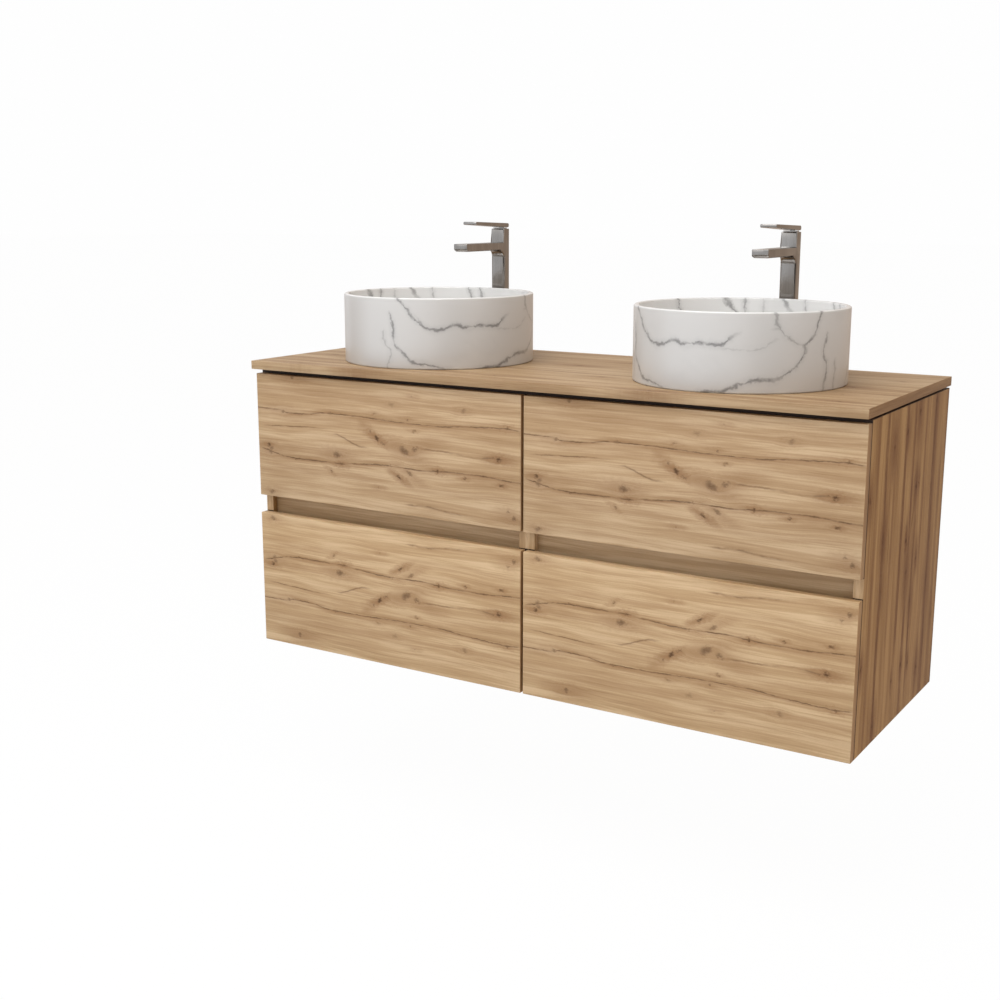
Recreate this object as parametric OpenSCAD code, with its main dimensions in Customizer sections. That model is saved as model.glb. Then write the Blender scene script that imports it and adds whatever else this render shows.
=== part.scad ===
// Wall-hung double vanity: two drawer cabinets side by side under one worktop,
// with two round vessel sinks, two tall mixer taps and their wastes.
// X runs to the right, the fronts face -Y, Z is up.
// The origin is on the wall, half way across and level with the underside.

/* [Worktop] */
// Width of the worktop
top_w = 1200; // [1160:10:1400]
// Depth of the worktop from the wall
top_d = 460; // [450:5:520]
// Thickness of the worktop
top_t = 16; // [12:1:28]
// How far the worktop stands past each side of the cabinets
side_overhang = 2.5; // [0:0.5:10]
// How far the worktop stands past the drawer fronts
front_overhang = 11; // [2:1:20]
// Height of the pads that hold the worktop off the cabinets
pad_h = 4; // [2:0.5:8]

/* [Cabinets] */
// Height of the cabinets
cabinet_h = 538; // [538:1:600]
// Thickness of the side, bottom and rail boards
board = 16; // [15:1:18]
// Gap between the cabinet's front edges and the closed drawer fronts
buffer_gap = 1; // [0.5:0.5:3]
// Depth of the finger channel behind the drawer fronts' face
channel_d = 28; // [24:1:34]
// Height of the board behind the finger channel
channel_board_h = 68; // [60:1:74]
// Width of the flat rails
rail_w = 80; // [60:5:90]

/* [Drawer fronts] */
// Height of the lower drawer fronts
lower_front_h = 260; // [250:1:270]
// Height of the gap between the lower and the upper fronts
finger_gap = 35; // [25:1:40]
// Height of the upper drawer fronts
upper_front_h = 238; // [225:1:240]
// Gap between the left and the right fronts
centre_gap = 5; // [2:0.5:8]

/* [Drawers] */
// Length of the drawer boxes
drawer_len = 350; // [320:5:360]
// How far a drawer pulls out
drawer_travel = 260; // [200:10:270]
// Thickness of the drawer boxes' sides and backs
box_board = 12; // [10:1:15]
// Thickness of the drawer bottoms
bottom_board = 8; // [4:1:10]
// Room for a runner at each side of a drawer box
runner_gap = 13; // [13:0.5:16]
// Height of the upper drawer boxes
upper_box_h = 150; // [100:5:170]
// Height of the lower drawer boxes
lower_box_h = 190; // [100:5:195]
// Width of the well that leaves room for the trap
well_w = 100; // [90:1:110]

/* [Sinks] */
// Outer diameter of a sink
sink_d = 360; // [330:5:380]
// Height of a sink
sink_h = 128; // [100:1:150]
// Wall thickness of a sink
sink_wall = 9; // [7:0.5:14]
// Thickness of a sink's floor
sink_floor = 14; // [12:1:20]
// Inside radius between a sink's floor and its wall
sink_fillet = 28; // [15:1:40]
// Rounding of a sink's rim and foot
sink_edge = 3; // [1:0.5:4]
// Distance between the centres of the sinks
sink_pitch = 616; // [600:2:640]
// Distance from the wall to the centres of the sinks
sink_y = 249; // [240:1:255]

/* [Taps] */
// Width of a tap's body, spout and lever
tap_w = 30.5; // [28:0.5:36]
// Depth of a tap's body
tap_depth = 20; // [18:0.5:24]
// Height of a tap's body above the worktop
tap_h = 244; // [220:1:300]
// Distance from the wall to the middle of a tap's body
tap_y = 29.5; // [28:0.5:34]
// Length of the spout in front of the body
spout_len = 135; // [110:1:150]
// Thickness of the spout
spout_t = 15; // [14:0.5:18]
// Height of the spout's underside above the worktop
spout_z = 201.5; // [185:0.5:205]
// Length of the lever in front of its pivot
lever_len = 117; // [90:1:130]
// How far the lever's tip stands above its pivot
lever_rise = 5; // [0:0.5:10]

/* [Wastes] */
// Outer radius of the waste's threaded tube
waste_r = 21; // [20:0.5:22]
// Outer radius of the trap's pipes
pipe_r = 16; // [15:0.5:17]
// Height of the trap's outlet above the underside
outlet_z = 412; // [405:1:415]
// Length of the outlet pipe's end that goes into the wall socket
spigot_len = 45; // [30:1:60]

/* [Hidden] */
$fn = 96;
eps = 0.01;

// faces of the cabinets
half_w = top_w / 2 - side_overhang;
front_y = front_overhang - top_d;
front_back_y = front_y + board;
carcass_y = front_back_y + buffer_gap;
bay_x0 = board;
bay_x1 = half_w - board;
top_z = cabinet_h + pad_h;
deck_z = top_z + top_t;

// pads, rails and bolt heads
pad_r = 10;
rear_pad_r = 5;
pad_inset = 60;
upper_rail_z = outlet_z + 33;
upper_rail_h = 60;
lower_rail_z = 60;
bolt_head_r = 6.5;
bolt_head_h = 4;

// drawer fronts
upper_front_z = lower_front_h + finger_gap;
channel_y = front_y + channel_d;
channel_mid_z = lower_front_h + finger_gap / 2;

// drawer boxes
box_x0 = bay_x0 + runner_gap;
box_x1 = bay_x1 - runner_gap;
box_back_y = front_back_y + drawer_len;
upper_box_z = channel_mid_z + channel_board_h / 2 + 4.5;
lower_box_z = board + 10;

// sinks, wastes and traps
sink_x = sink_pitch / 2;
sink_r = sink_d / 2;
bowl_z = deck_z + sink_floor;
bowl_r = sink_r - sink_wall;
sink_hole_r = waste_r + 1.5;
waste_t = 3.5;
waste_flange_r = 32;
waste_flange_t = 2.5;
waste_bottom = top_z - 47;
waste_nut_h = 14;
waste_nut_r = waste_r + 6;
spider_z = bowl_z - 32;
spider_h = 12;
spider_t = 3;
spider_r = 7;
plug_r = 31;
plug_t = 4.2;
plug_lift = 0.3;
stem_r = 4;
stem_len = 50;
stem_play = 0.05;
socket_play = 0.1;
pipe_t = 2;
spigot_step = 0.4;
bottle_r = 30;
bottle_t = 2.5;
bottle_top = outlet_z + 43;
bottle_bottom = outlet_z - 37;
cup_h = 29.7;
cup_t = 4;
socket_r = 26;
socket_h = 24;
socket_depth = 10;
stub_r = pipe_r + 6;
stub_len = 62;

// well in the upper drawers
well_x0 = sink_x - well_w / 2;
well_x1 = sink_x + well_w / 2;
well_front_y = -sink_y - 57;
well_joint = 0.1;

// runners
runner_len = 350;
runner_z = 40;
runner_t = 1.5;
runner_half_h = 15;
runner_depth = 10;
front_roller_r = 8;
rear_roller_r = 13;
rail_rest = 0.4;

// taps
tap_hole_r = 17;
tap_flange = 7;
tap_flange_t = 4;
tap_bore_r = 7.05;
tap_seat = 32;
tap_stem_r = 7;
tap_top = deck_z + tap_h;
spout_fillet = 14;
spout_nose = 7;
shank_r = 11;
shank_len = 50;
stud_r = 8;
stud_h = 8;
stud_play = 0.1;
inlet_r = 4.5;
inlet_x = 5.3;
inlet_len = 12;
waterway_r = 2;
waterway_x = 4.24;
spout_way_r = 3.5;
aerator_r = 9.5;
aerator_h = 6.5;
aerator_inset = 17;
aerator_y = -tap_y - tap_depth / 2 - spout_len + aerator_inset;
neck_lift = 0.3;
neck_h = 1.9;
neck_half_w = 13;
neck_half_d = 5;
lug_half_w = 4;
lug_r = 2.6;
lug_play = 0.3;
pin_half_len = 10;
pivot_y = -tap_y + 5.5;
pivot_z = tap_top + 6.7;
pin_r = 1.2;
pin_bore_r = 1.25;
lever_back_r = 4.2;
lever_tip_t = 6;

// fixings
bolt_r = 3.9;
bolt_hole_r = 4;
bolt_places = [[-400, 180], [-400, 480], [-40, 180], [-40, 480]];
plate_t = 2.5;
plate_z0 = cabinet_h - 30;
plate_z1 = cabinet_h - 2;
plate_x0 = board + 2;
plate_x1 = board + 62;
plate_hole_r = 3;
plate_hole_z = plate_z0 + 14;
plate_hole_x = [board + 34, board + 54];
lip_t = 2;
lip_h = 12;
lip_d = 8;
lip_z = plate_z0 + 4;
lip_x1 = board + 22;
hanger_w = 24;
hanger_d = 45;
hanger_y = -9;
finger_t = 2.3;
finger_x0 = board + 4;
finger_x1 = board + 20;
finger_y = -3.2;
finger_z = plate_z0 + 18;

// ---- shared shapes ----

// a box from its lowest to its highest corner
module slab(lo, hi)
    translate(lo) cube(hi - lo);

// the right-hand half as drawn, or mirrored for the left-hand half
module left()
    mirror([1, 0, 0]) children();

module both_halves() {
    children();
    left() children();
}

// a shape at the outer side of a cabinet, and its mirror image at the inner side
module both_walls() {
    children();
    translate([half_w, 0, 0]) mirror([1, 0, 0]) children();
}

// ---- worktop and cabinets ----

module worktop()
    color("burlywood") difference() {
        slab([-top_w / 2, -top_d, top_z], [top_w / 2, 0, deck_z]);
        both_halves() {
            translate([sink_x, -sink_y, top_z - 1]) cylinder(r = waste_r + 3, h = top_t + 2);
            translate([sink_x, -tap_y, top_z - 1]) cylinder(r = tap_hole_r, h = top_t + 2);
        }
    }

module worktop_pads()
    color("dimgray") both_halves() {
        for (x = [pad_inset, half_w / 2, half_w - pad_inset])
            translate([x, carcass_y + rail_w / 2, cabinet_h]) cylinder(r = pad_r, h = pad_h);
        for (x = [board / 2, half_w - board / 2 - 2])
            translate([x, -pad_inset, cabinet_h]) cylinder(r = rear_pad_r, h = pad_h);
    }

module outer_side()
    color("tan") slab([bay_x1, carcass_y, 0], [half_w, 0, cabinet_h]);

module inner_side()
    color("tan") difference() {
        slab([0, carcass_y, 0], [board, 0, cabinet_h]);
        for (p = bolt_places)
            translate([-1, p[0], p[1]]) rotate([0, 90, 0]) cylinder(r = bolt_hole_r, h = board + 2);
    }

module bottom_panel()
    color("tan") slab([bay_x0, carcass_y, 0], [bay_x1, 0, board]);

module finger_board()
    color("peru") slab([bay_x0, channel_y, channel_mid_z - channel_board_h / 2],
                       [bay_x1, channel_y + board, channel_mid_z + channel_board_h / 2]);

// one flat rail at the front under the worktop and two upright rails on the wall
module cross_rails()
    color("tan") {
        slab([bay_x0, carcass_y, cabinet_h - board], [bay_x1, carcass_y + rail_w, cabinet_h]);
        slab([bay_x0, -board, upper_rail_z], [bay_x1, 0, upper_rail_z + upper_rail_h]);
        slab([bay_x0, -board, lower_rail_z], [bay_x1, 0, lower_rail_z + rail_w]);
    }

module cabinet_bolts()
    color("silver") for (p = bolt_places)
        translate([0, p[0], p[1]]) rotate([0, 90, 0]) {
            cylinder(r = bolt_r, h = 2 * board, center = true);
            translate([0, 0, board]) cylinder(r = bolt_head_r, h = bolt_head_h);
            translate([0, 0, -board - bolt_head_h]) cylinder(r = bolt_head_r, h = bolt_head_h);
        }

// steel boxes inside the top back corners, each with a finger that drops behind its wall plate's lip
module wall_hanger()
    color("silver") {
        slab([board, -hanger_d, plate_z0 + 2], [board + hanger_w, hanger_y, plate_z1]);
        slab([finger_x0, hanger_y - eps, finger_z], [finger_x1, finger_y, finger_z + 4]);
        slab([finger_x0, finger_y - finger_t, finger_z - 10], [finger_x1, finger_y, finger_z + eps]);
    }

module wall_plate()
    color("silver") difference() {
        union() {
            slab([plate_x0, -plate_t, plate_z0], [plate_x1, 0, plate_z1]);
            slab([plate_x0, -lip_d, lip_z], [lip_x1, eps - plate_t, lip_z + lip_t]);
            slab([plate_x0, -lip_d, lip_z + lip_t - eps], [lip_x1, lip_t - lip_d, lip_z + lip_h]);
        }
        for (x = plate_hole_x)
            translate([x, 1, plate_hole_z]) rotate([90, 0, 0]) cylinder(r = plate_hole_r, h = plate_t + 2);
    }

module wall_hangers()
    both_halves() both_walls() wall_hanger();

module wall_plates()
    both_halves() both_walls() wall_plate();

// ---- runners ----

// u runs from the cabinet's wall to the drawer, z0 is the runner's middle
module along_wall(y0, z0)
    translate([bay_x1, y0, z0]) rotate([90, 0, 0]) mirror([1, 0, 0]) children();

module cabinet_runner(z0) {
    along_wall(carcass_y + 1 + runner_len, z0)
        linear_extrude(runner_len) difference() {
            translate([0, -runner_half_h]) square([runner_depth, 2 * runner_half_h]);
            translate([runner_t, runner_t - runner_half_h])
                square([runner_depth, 2 * (runner_half_h - runner_t)]);
        }
    translate([bay_x1 - 9, carcass_y + 14, z0]) rotate([0, 90, 0])
        cylinder(r = front_roller_r, h = 9 - runner_t + eps);
}

module drawer_runner(z0) {
    lip_z = front_roller_r + rail_rest;
    along_wall(box_back_y, z0)
        linear_extrude(drawer_len) {
            translate([runner_gap - runner_t, -8]) square([runner_t, lip_z + runner_t + 8]);
            translate([3, lip_z]) square([runner_gap - 3, runner_t]);
        }
    translate([box_x1 + runner_t - eps, box_back_y - 14, z0]) rotate([0, 90, 0])
        cylinder(r = rear_roller_r, h = runner_gap - 3 - runner_t);
}

module cabinet_runners(z0)
    color("silver") both_walls() cabinet_runner(z0);

module drawer_runners(z0)
    color("gainsboro") both_walls() drawer_runner(z0);

// ---- drawers ----

module drawer_front(z0, z1)
    color("burlywood") slab([centre_gap / 2, front_y, z0], [half_w, front_back_y, z1]);

module box_sides(z0, box_h)
    color("gray") both_walls()
        slab([box_x1 - box_board, front_back_y, z0 + bottom_board], [box_x1, box_back_y, z0 + box_h]);

module box_bottom(z0)
    color("gray") slab([box_x0, front_back_y, z0], [box_x1, box_back_y, z0 + bottom_board]);

module lower_box_back()
    color("gray") slab([box_x0 + box_board, box_back_y - box_board, lower_box_z + bottom_board],
                       [box_x1 - box_board, box_back_y, lower_box_z + lower_box_h]);

module upper_box_bottom()
    difference() {
        box_bottom(upper_box_z);
        slab([well_x0, well_front_y + box_board, upper_box_z - 1],
             [well_x1, box_back_y + 1, upper_box_z + bottom_board + 1]);
    }

// the back in two pieces, one at each side of the well
module upper_box_back()
    color("gray") for (x = [[box_x0 + box_board, well_x0 - box_board],
                            [well_x1 + box_board, box_x1 - box_board]])
        slab([x[0], box_back_y - box_board, upper_box_z + bottom_board],
             [x[1], box_back_y, upper_box_z + upper_box_h]);

// two cheeks round the trap with a cross board between their front ends
module upper_box_well()
    color("gray") {
        z0 = upper_box_z + bottom_board;
        z1 = upper_box_z + upper_box_h;
        for (x = [well_x0 - box_board, well_x1])
            slab([x, well_front_y, z0], [x + box_board, box_back_y, z1]);
        slab([well_x0 + well_joint, well_front_y, z0],
             [well_x1 - well_joint, well_front_y + box_board, z1]);
    }

// ---- sinks, wastes and traps ----

// a square block in the radius and height plane, with its outer corners rounded
module rounded_block(w, h, r) {
    square([w - r, h]);
    translate([0, r]) square([w, h - 2 * r]);
    for (y = [r, h - r])
        translate([w - r, y]) circle(r);
}

module sink()
    color("whitesmoke") translate([sink_x, -sink_y, deck_z]) rotate_extrude() difference() {
        rounded_block(sink_r, sink_h, sink_edge);
        translate([0, sink_floor]) square([bowl_r - sink_fillet, sink_h]);
        translate([0, sink_floor + sink_fillet]) square([bowl_r, sink_h]);
        translate([bowl_r - sink_fillet, sink_floor + sink_fillet]) circle(sink_fillet);
        translate([0, -1]) square([sink_hole_r, sink_h]);
    }

// flanged tube with a spider that guides the plug, and its nut under the worktop
module waste()
    color("silver") translate([sink_x, -sink_y, 0]) {
        difference() {
            union() {
                translate([0, 0, bowl_z]) cylinder(r = waste_flange_r, h = waste_flange_t);
                translate([0, 0, waste_bottom])
                    cylinder(r = waste_r, h = bowl_z - waste_bottom + eps);
            }
            translate([0, 0, waste_bottom - 1])
                cylinder(r = waste_r - waste_t, h = bowl_z + waste_flange_t - waste_bottom + 2);
        }
        difference() {
            union() {
                translate([0, 0, spider_z]) cylinder(r = spider_r, h = spider_h);
                for (a = [0, 90])
                    rotate([0, 0, a])
                        translate([waste_t / 2 - waste_r, -spider_t / 2, spider_z])
                            cube([2 * waste_r - waste_t, spider_t, spider_h]);
            }
            translate([0, 0, spider_z - 1]) cylinder(r = stem_r + stem_play, h = spider_h + 2);
        }
        difference() {
            translate([0, 0, top_z - waste_nut_h]) cylinder(r = waste_nut_r, h = waste_nut_h);
            translate([0, 0, top_z - waste_nut_h - 1])
                cylinder(r = waste_r + socket_play, h = waste_nut_h + 2);
        }
    }

module waste_plug()
    color("silver") translate([sink_x, -sink_y, bowl_z]) {
        translate([0, 0, waste_flange_t + plug_lift]) cylinder(r = plug_r, h = plug_t);
        translate([0, 0, -stem_len])
            cylinder(r = stem_r, h = stem_len + waste_flange_t + plug_lift + eps);
    }

// bottle trap: socket, dip tube, bottle and outlet stub
module trap_body()
    color("white") translate([sink_x, -sink_y, 0]) difference() {
        union() {
            translate([0, 0, waste_bottom + socket_depth - socket_h])
                cylinder(r = socket_r, h = socket_h);
            translate([0, 0, bottle_top - 4]) cylinder(r = pipe_r, h = waste_bottom - bottle_top - 9);
            translate([0, 0, bottle_bottom]) cylinder(r = bottle_r, h = bottle_top - bottle_bottom);
            translate([0, 0, outlet_z]) rotate([-90, 0, 0]) cylinder(r = stub_r, h = stub_len);
        }
        translate([0, 0, waste_bottom]) cylinder(r = waste_r + socket_play, h = socket_depth + 1);
        translate([0, 0, bottle_bottom - 1])
            cylinder(r = pipe_r - pipe_t, h = waste_bottom - bottle_bottom + 2);
        difference() {
            translate([0, 0, bottle_bottom - 1])
                cylinder(r = bottle_r - bottle_t, h = bottle_top - bottle_bottom - 3);
            translate([0, 0, bottle_bottom - 2])
                cylinder(r = pipe_r, h = bottle_top - bottle_bottom + 2);
        }
        translate([0, bottle_r - 7, outlet_z]) rotate([-90, 0, 0])
            cylinder(r = pipe_r - spigot_step + socket_play, h = stub_len + 8 - bottle_r);
    }

// outlet pipe, with a spigot end a hair wider than the rest for the socket in the wall
module trap_pipe()
    color("white") translate([sink_x, -1, outlet_z]) rotate([90, 0, 0]) difference() {
        union() {
            cylinder(r = pipe_r, h = spigot_len);
            cylinder(r = pipe_r - spigot_step, h = sink_y - bottle_r - 2);
        }
        translate([0, 0, -1]) cylinder(r = pipe_r - pipe_t, h = sink_y);
    }

module trap_cups()
    color("gainsboro") both_halves()
        translate([sink_x, -sink_y, bottle_bottom - cup_h - 0.3]) difference() {
            cylinder(r = bottle_r, h = cup_h);
            translate([0, 0, cup_t]) cylinder(r = bottle_r - cup_t, h = cup_h);
        }

// ---- taps ----

// side view of the body and spout: u forward from the back of the body, v up from the worktop
module tap_outline() {
    tip_u = tap_depth + spout_len;
    square([tap_depth, tap_h]);
    translate([tap_depth - 1, spout_z]) square([spout_len - spout_nose + 1, spout_t]);
    translate([tip_u - spout_nose - 1, spout_z + spout_nose])
        square([spout_nose + 1, spout_t - spout_nose]);
    translate([tip_u - spout_nose, spout_z + spout_nose]) circle(spout_nose);
    translate([tap_depth, spout_z - spout_fillet]) difference() {
        translate([-1, 0]) square([spout_fillet + 1, spout_fillet + 1]);
        translate([spout_fillet, 0]) circle(spout_fillet);
    }
}

// the casting, with a seat for the mixing cartridge, its two inlets and its outlet to the spout
module tap_casting()
    difference() {
        union() {
            translate([tap_w / 2, tap_depth / 2, 0]) rotate([90, 0, -90])
                linear_extrude(tap_w) tap_outline();
            slab([-tap_w / 2 - tap_flange, tap_flange - tap_y, 0],
                 [tap_w / 2 + tap_flange, tap_y - 9, tap_flange_t]);
        }
        translate([0, 0, -1]) cylinder(r = stud_r + stud_play, h = stud_h + 1);
        translate([0, 0, tap_h - tap_seat]) cylinder(r = tap_bore_r, h = tap_seat + 1);
        for (x = [-waterway_x, waterway_x])
            translate([x, 0, 0]) cylinder(r = waterway_r, h = tap_h - tap_seat + 1);
        translate([0, -4.8, spout_z + spout_t / 2 - 0.5]) cylinder(r = 1.6, h = 30);
        translate([0, -4, spout_z + spout_t / 2]) rotate([90, 0, 0])
            cylinder(r = spout_way_r, h = tap_depth / 2 + spout_len - aerator_inset - 4);
        translate([0, aerator_y + tap_y, spout_z - 1]) cylinder(r = aerator_r + 0.1, h = 9);
    }

// the threaded shank, screwed into the foot of the casting, with the sockets of the two hoses
module tap_shank()
    difference() {
        union() {
            translate([0, 0, -shank_len]) cylinder(r = shank_r, h = shank_len - stud_play);
            translate([0, 0, -1]) cylinder(r = stud_r, h = stud_h + 1 - stud_play);
        }
        for (side = [-1, 1]) {
            translate([side * inlet_x, 0, -shank_len - 1]) cylinder(r = inlet_r, h = inlet_len + 1);
            translate([side * waterway_x, 0, -shank_len + 1])
                cylinder(r = waterway_r, h = shank_len + stud_h);
        }
    }

module tap_body()
    color("dimgray") translate([sink_x, -tap_y, deck_z]) {
        tap_casting();
        tap_shank();
    }

module tap_neck()
    color("dimgray") translate([sink_x, 0, 0]) {
        translate([0, -tap_y, tap_top - 31]) cylinder(r = tap_stem_r, h = 31 + neck_lift + eps);
        translate([0, -tap_y, tap_top + neck_lift])
            slab([-neck_half_w, -neck_half_d, 0], [neck_half_w, neck_half_d, neck_h]);
        slab([-lug_half_w, pivot_y - lug_r, tap_top + neck_lift], [lug_half_w, pivot_y + lug_r, pivot_z]);
        translate([-lug_half_w, pivot_y, pivot_z]) rotate([0, 90, 0])
            cylinder(r = lug_r, h = 2 * lug_half_w);
        translate([-pin_half_len, pivot_y, pivot_z]) rotate([0, 90, 0])
            cylinder(r = pin_r, h = 2 * pin_half_len);
    }

// side view of the lever: u forward and v up from its pivot
module lever_outline() {
    tip_v = lever_rise - lever_tip_t / 2;
    polygon([
        [-lever_back_r, 1.7], [-lever_back_r, -1.7], [-1.7, -lever_back_r], [1.7, -lever_back_r],
        [lever_len - 2, tip_v], [lever_len, tip_v + 2],
        [lever_len, tip_v + lever_tip_t - 2], [lever_len - 2, tip_v + lever_tip_t],
        [1.7, lever_back_r], [-1.7, lever_back_r]
    ]);
}

module tap_lever()
    color("dimgray") translate([sink_x, pivot_y, pivot_z]) difference() {
        translate([tap_w / 2, 0, 0]) rotate([90, 0, -90]) linear_extrude(tap_w) lever_outline();
        slab([-lug_half_w - lug_play, -7, -6], [lug_half_w + lug_play, 6, lug_r + lug_play]);
        translate([-pin_half_len - 1, 0, 0]) rotate([0, 90, 0])
            cylinder(r = pin_bore_r, h = 2 * pin_half_len + 2);
    }

module aerators()
    color("gray") both_halves() translate([sink_x, aerator_y, deck_z + spout_z]) difference() {
        cylinder(r = aerator_r, h = aerator_h);
        translate([0, 0, -1]) cylinder(r = aerator_r - 1.5, h = 2.5);
    }

module tap_nuts()
    color("silver") both_halves() translate([sink_x, -tap_y, top_z - 12]) difference() {
        union() {
            cylinder(r = 17, h = 10.5, $fn = 6);
            translate([0, 0, 10]) cylinder(r = 20, h = 2);
        }
        translate([0, 0, -1]) cylinder(r = shank_r + socket_play, h = 14);
    }

// ---- nodes ----

worktop();
worktop_pads();
left() outer_side();  // left_outer_side
left() inner_side();  // left_inner_side
inner_side();  // right_inner_side
outer_side();  // right_outer_side
left() bottom_panel();  // left_bottom_panel
bottom_panel();  // right_bottom_panel
left() finger_board();  // left_finger_board
finger_board();  // right_finger_board
left() cross_rails();  // left_cross_rails
cross_rails();  // right_cross_rails
cabinet_bolts();
wall_hangers();
wall_plates();
left() cabinet_runners(upper_box_z + runner_z);  // left_upper_cabinet_runners
cabinet_runners(upper_box_z + runner_z);  // right_upper_cabinet_runners
left() cabinet_runners(lower_box_z + runner_z);  // left_lower_cabinet_runners
cabinet_runners(lower_box_z + runner_z);  // right_lower_cabinet_runners
left() drawer_front(upper_front_z, upper_front_z + upper_front_h);  // left_upper_front
left() box_sides(upper_box_z, upper_box_h);  // left_upper_box_sides
left() upper_box_back();  // left_upper_box_back
left() upper_box_well();  // left_upper_box_well
left() upper_box_bottom();  // left_upper_box_bottom
left() drawer_runners(upper_box_z + runner_z);  // left_upper_drawer_runners
drawer_front(upper_front_z, upper_front_z + upper_front_h);  // right_upper_front
box_sides(upper_box_z, upper_box_h);  // right_upper_box_sides
upper_box_back();  // right_upper_box_back
upper_box_well();  // right_upper_box_well
upper_box_bottom();  // right_upper_box_bottom
drawer_runners(upper_box_z + runner_z);  // right_upper_drawer_runners
left() drawer_front(0, lower_front_h);  // left_lower_front
left() box_sides(lower_box_z, lower_box_h);  // left_lower_box_sides
left() lower_box_back();  // left_lower_box_back
left() box_bottom(lower_box_z);  // left_lower_box_bottom
left() drawer_runners(lower_box_z + runner_z);  // left_lower_drawer_runners
drawer_front(0, lower_front_h);  // right_lower_front
box_sides(lower_box_z, lower_box_h);  // right_lower_box_sides
lower_box_back();  // right_lower_box_back
box_bottom(lower_box_z);  // right_lower_box_bottom
drawer_runners(lower_box_z + runner_z);  // right_lower_drawer_runners
left() sink();  // left_sink
sink();  // right_sink
left() waste();  // left_waste
waste();  // right_waste
left() waste_plug();  // left_waste_plug
waste_plug();  // right_waste_plug
left() trap_body();  // left_trap_body
trap_body();  // right_trap_body
left() trap_pipe();  // left_trap_pipe
trap_pipe();  // right_trap_pipe
trap_cups();
left() tap_body();  // left_tap_body
tap_body();  // right_tap_body
left() tap_neck();  // left_tap_neck
tap_neck();  // right_tap_neck
left() tap_lever();  // left_tap_lever
tap_lever();  // right_tap_lever
aerators();
tap_nuts();
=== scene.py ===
import math

import bpy
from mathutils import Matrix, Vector


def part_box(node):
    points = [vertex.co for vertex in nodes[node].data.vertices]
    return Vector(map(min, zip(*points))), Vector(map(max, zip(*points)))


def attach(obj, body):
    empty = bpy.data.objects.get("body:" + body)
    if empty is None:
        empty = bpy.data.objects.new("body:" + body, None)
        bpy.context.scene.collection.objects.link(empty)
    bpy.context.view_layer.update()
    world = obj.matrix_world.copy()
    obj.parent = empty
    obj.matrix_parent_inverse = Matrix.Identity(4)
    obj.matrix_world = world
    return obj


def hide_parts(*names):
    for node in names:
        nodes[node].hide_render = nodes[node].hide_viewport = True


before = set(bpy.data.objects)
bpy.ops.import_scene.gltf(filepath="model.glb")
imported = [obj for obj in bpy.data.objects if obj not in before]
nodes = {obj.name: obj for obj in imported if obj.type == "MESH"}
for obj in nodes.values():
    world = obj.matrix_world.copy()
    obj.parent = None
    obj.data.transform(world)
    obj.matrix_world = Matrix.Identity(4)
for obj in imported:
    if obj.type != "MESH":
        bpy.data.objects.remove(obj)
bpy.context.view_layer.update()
sides = {"left": -1, "right": 1}


def addNode(tree, kind, values=None, **settings):
    # values maps input names or numbers to constants or to other nodes' outputs
    made = tree.nodes.new("ShaderNode" + kind)
    for name, value in settings.items():
        setattr(made, name, value)
    for key, value in (values or {}).items():
        if isinstance(value, bpy.types.NodeSocket):
            tree.links.new(value, made.inputs[key])
        else:
            made.inputs[key].default_value = value
    return made


def maths(tree, operation, *values):
    return addNode(tree, "Math", dict(enumerate(values)), operation=operation).outputs[0]


def times(tree, first, second):
    return maths(tree, "MULTIPLY", first, second)


def timesPlus(tree, first, second, third):
    return maths(tree, "MULTIPLY_ADD", first, second, third)


def minus(tree, first, second):
    return maths(tree, "SUBTRACT", first, second)


def larger(tree, first, second):
    return maths(tree, "MAXIMUM", first, second)


def sway(tree, value, reach, about=0.0):
    # a noise value becomes a swing of half the reach to either side
    return timesPlus(tree, minus(tree, value, 0.5), reach, about)


def vectorMaths(tree, operation, *values):
    made = addNode(tree, "VectorMath", dict(enumerate(values)), operation=operation)
    return made.outputs["Value" if operation in ("LENGTH", "DOT_PRODUCT") else "Vector"]


def split(tree, vector):
    return addNode(tree, "SeparateXYZ", {0: vector}).outputs


def join(tree, x=0.0, y=0.0, z=0.0):
    return addNode(tree, "CombineXYZ", {0: x, 1: y, 2: z}).outputs[0]


def remap(tree, value, low, high, toLow=0.0, toHigh=1.0):
    made = addNode(tree, "MapRange", {0: value, 1: low, 2: high, 3: toLow, 4: toHigh},
                   interpolation_type="SMOOTHSTEP")
    return made.outputs[0]


def between(tree, value, rise, fall):
    # goes from 0 to 1 over the first pair of values and back over the second
    return times(tree, remap(tree, value, *rise), remap(tree, value, *fall, 1, 0))


def mixColour(tree, amount, first, second, blend="MIX"):
    made = addNode(tree, "Mix", {0: amount, 6: first, 7: second}, data_type="RGBA", blend_type=blend)
    return made.outputs[2]


def noise(tree, vector, scale=1.0, detail=2.0, rough=0.5):
    values = {"Vector": vector, "Scale": scale, "Detail": detail, "Roughness": rough}
    return addNode(tree, "TexNoise", values).outputs[0]


def stretch(tree, vector, scale, offset=(0, 0, 0)):
    return addNode(tree, "Mapping", {"Vector": vector, "Location": offset, "Scale": scale}).outputs[0]


def newGroup(name, vectors, numbers, gives):
    # vectors are input names, numbers input names with their usual values, and gives the output names
    tree = bpy.data.node_groups.new(name, "ShaderNodeTree")
    for label in vectors:
        tree.interface.new_socket(name=label, in_out="INPUT", socket_type="NodeSocketVector")
    for label, usual in numbers.items():
        socket = tree.interface.new_socket(name=label, in_out="INPUT", socket_type="NodeSocketFloat")
        socket.default_value = usual
    for label in gives:
        tree.interface.new_socket(name=label, in_out="OUTPUT", socket_type="NodeSocketFloat")
    return tree, tree.nodes.new("NodeGroupInput").outputs


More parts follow.
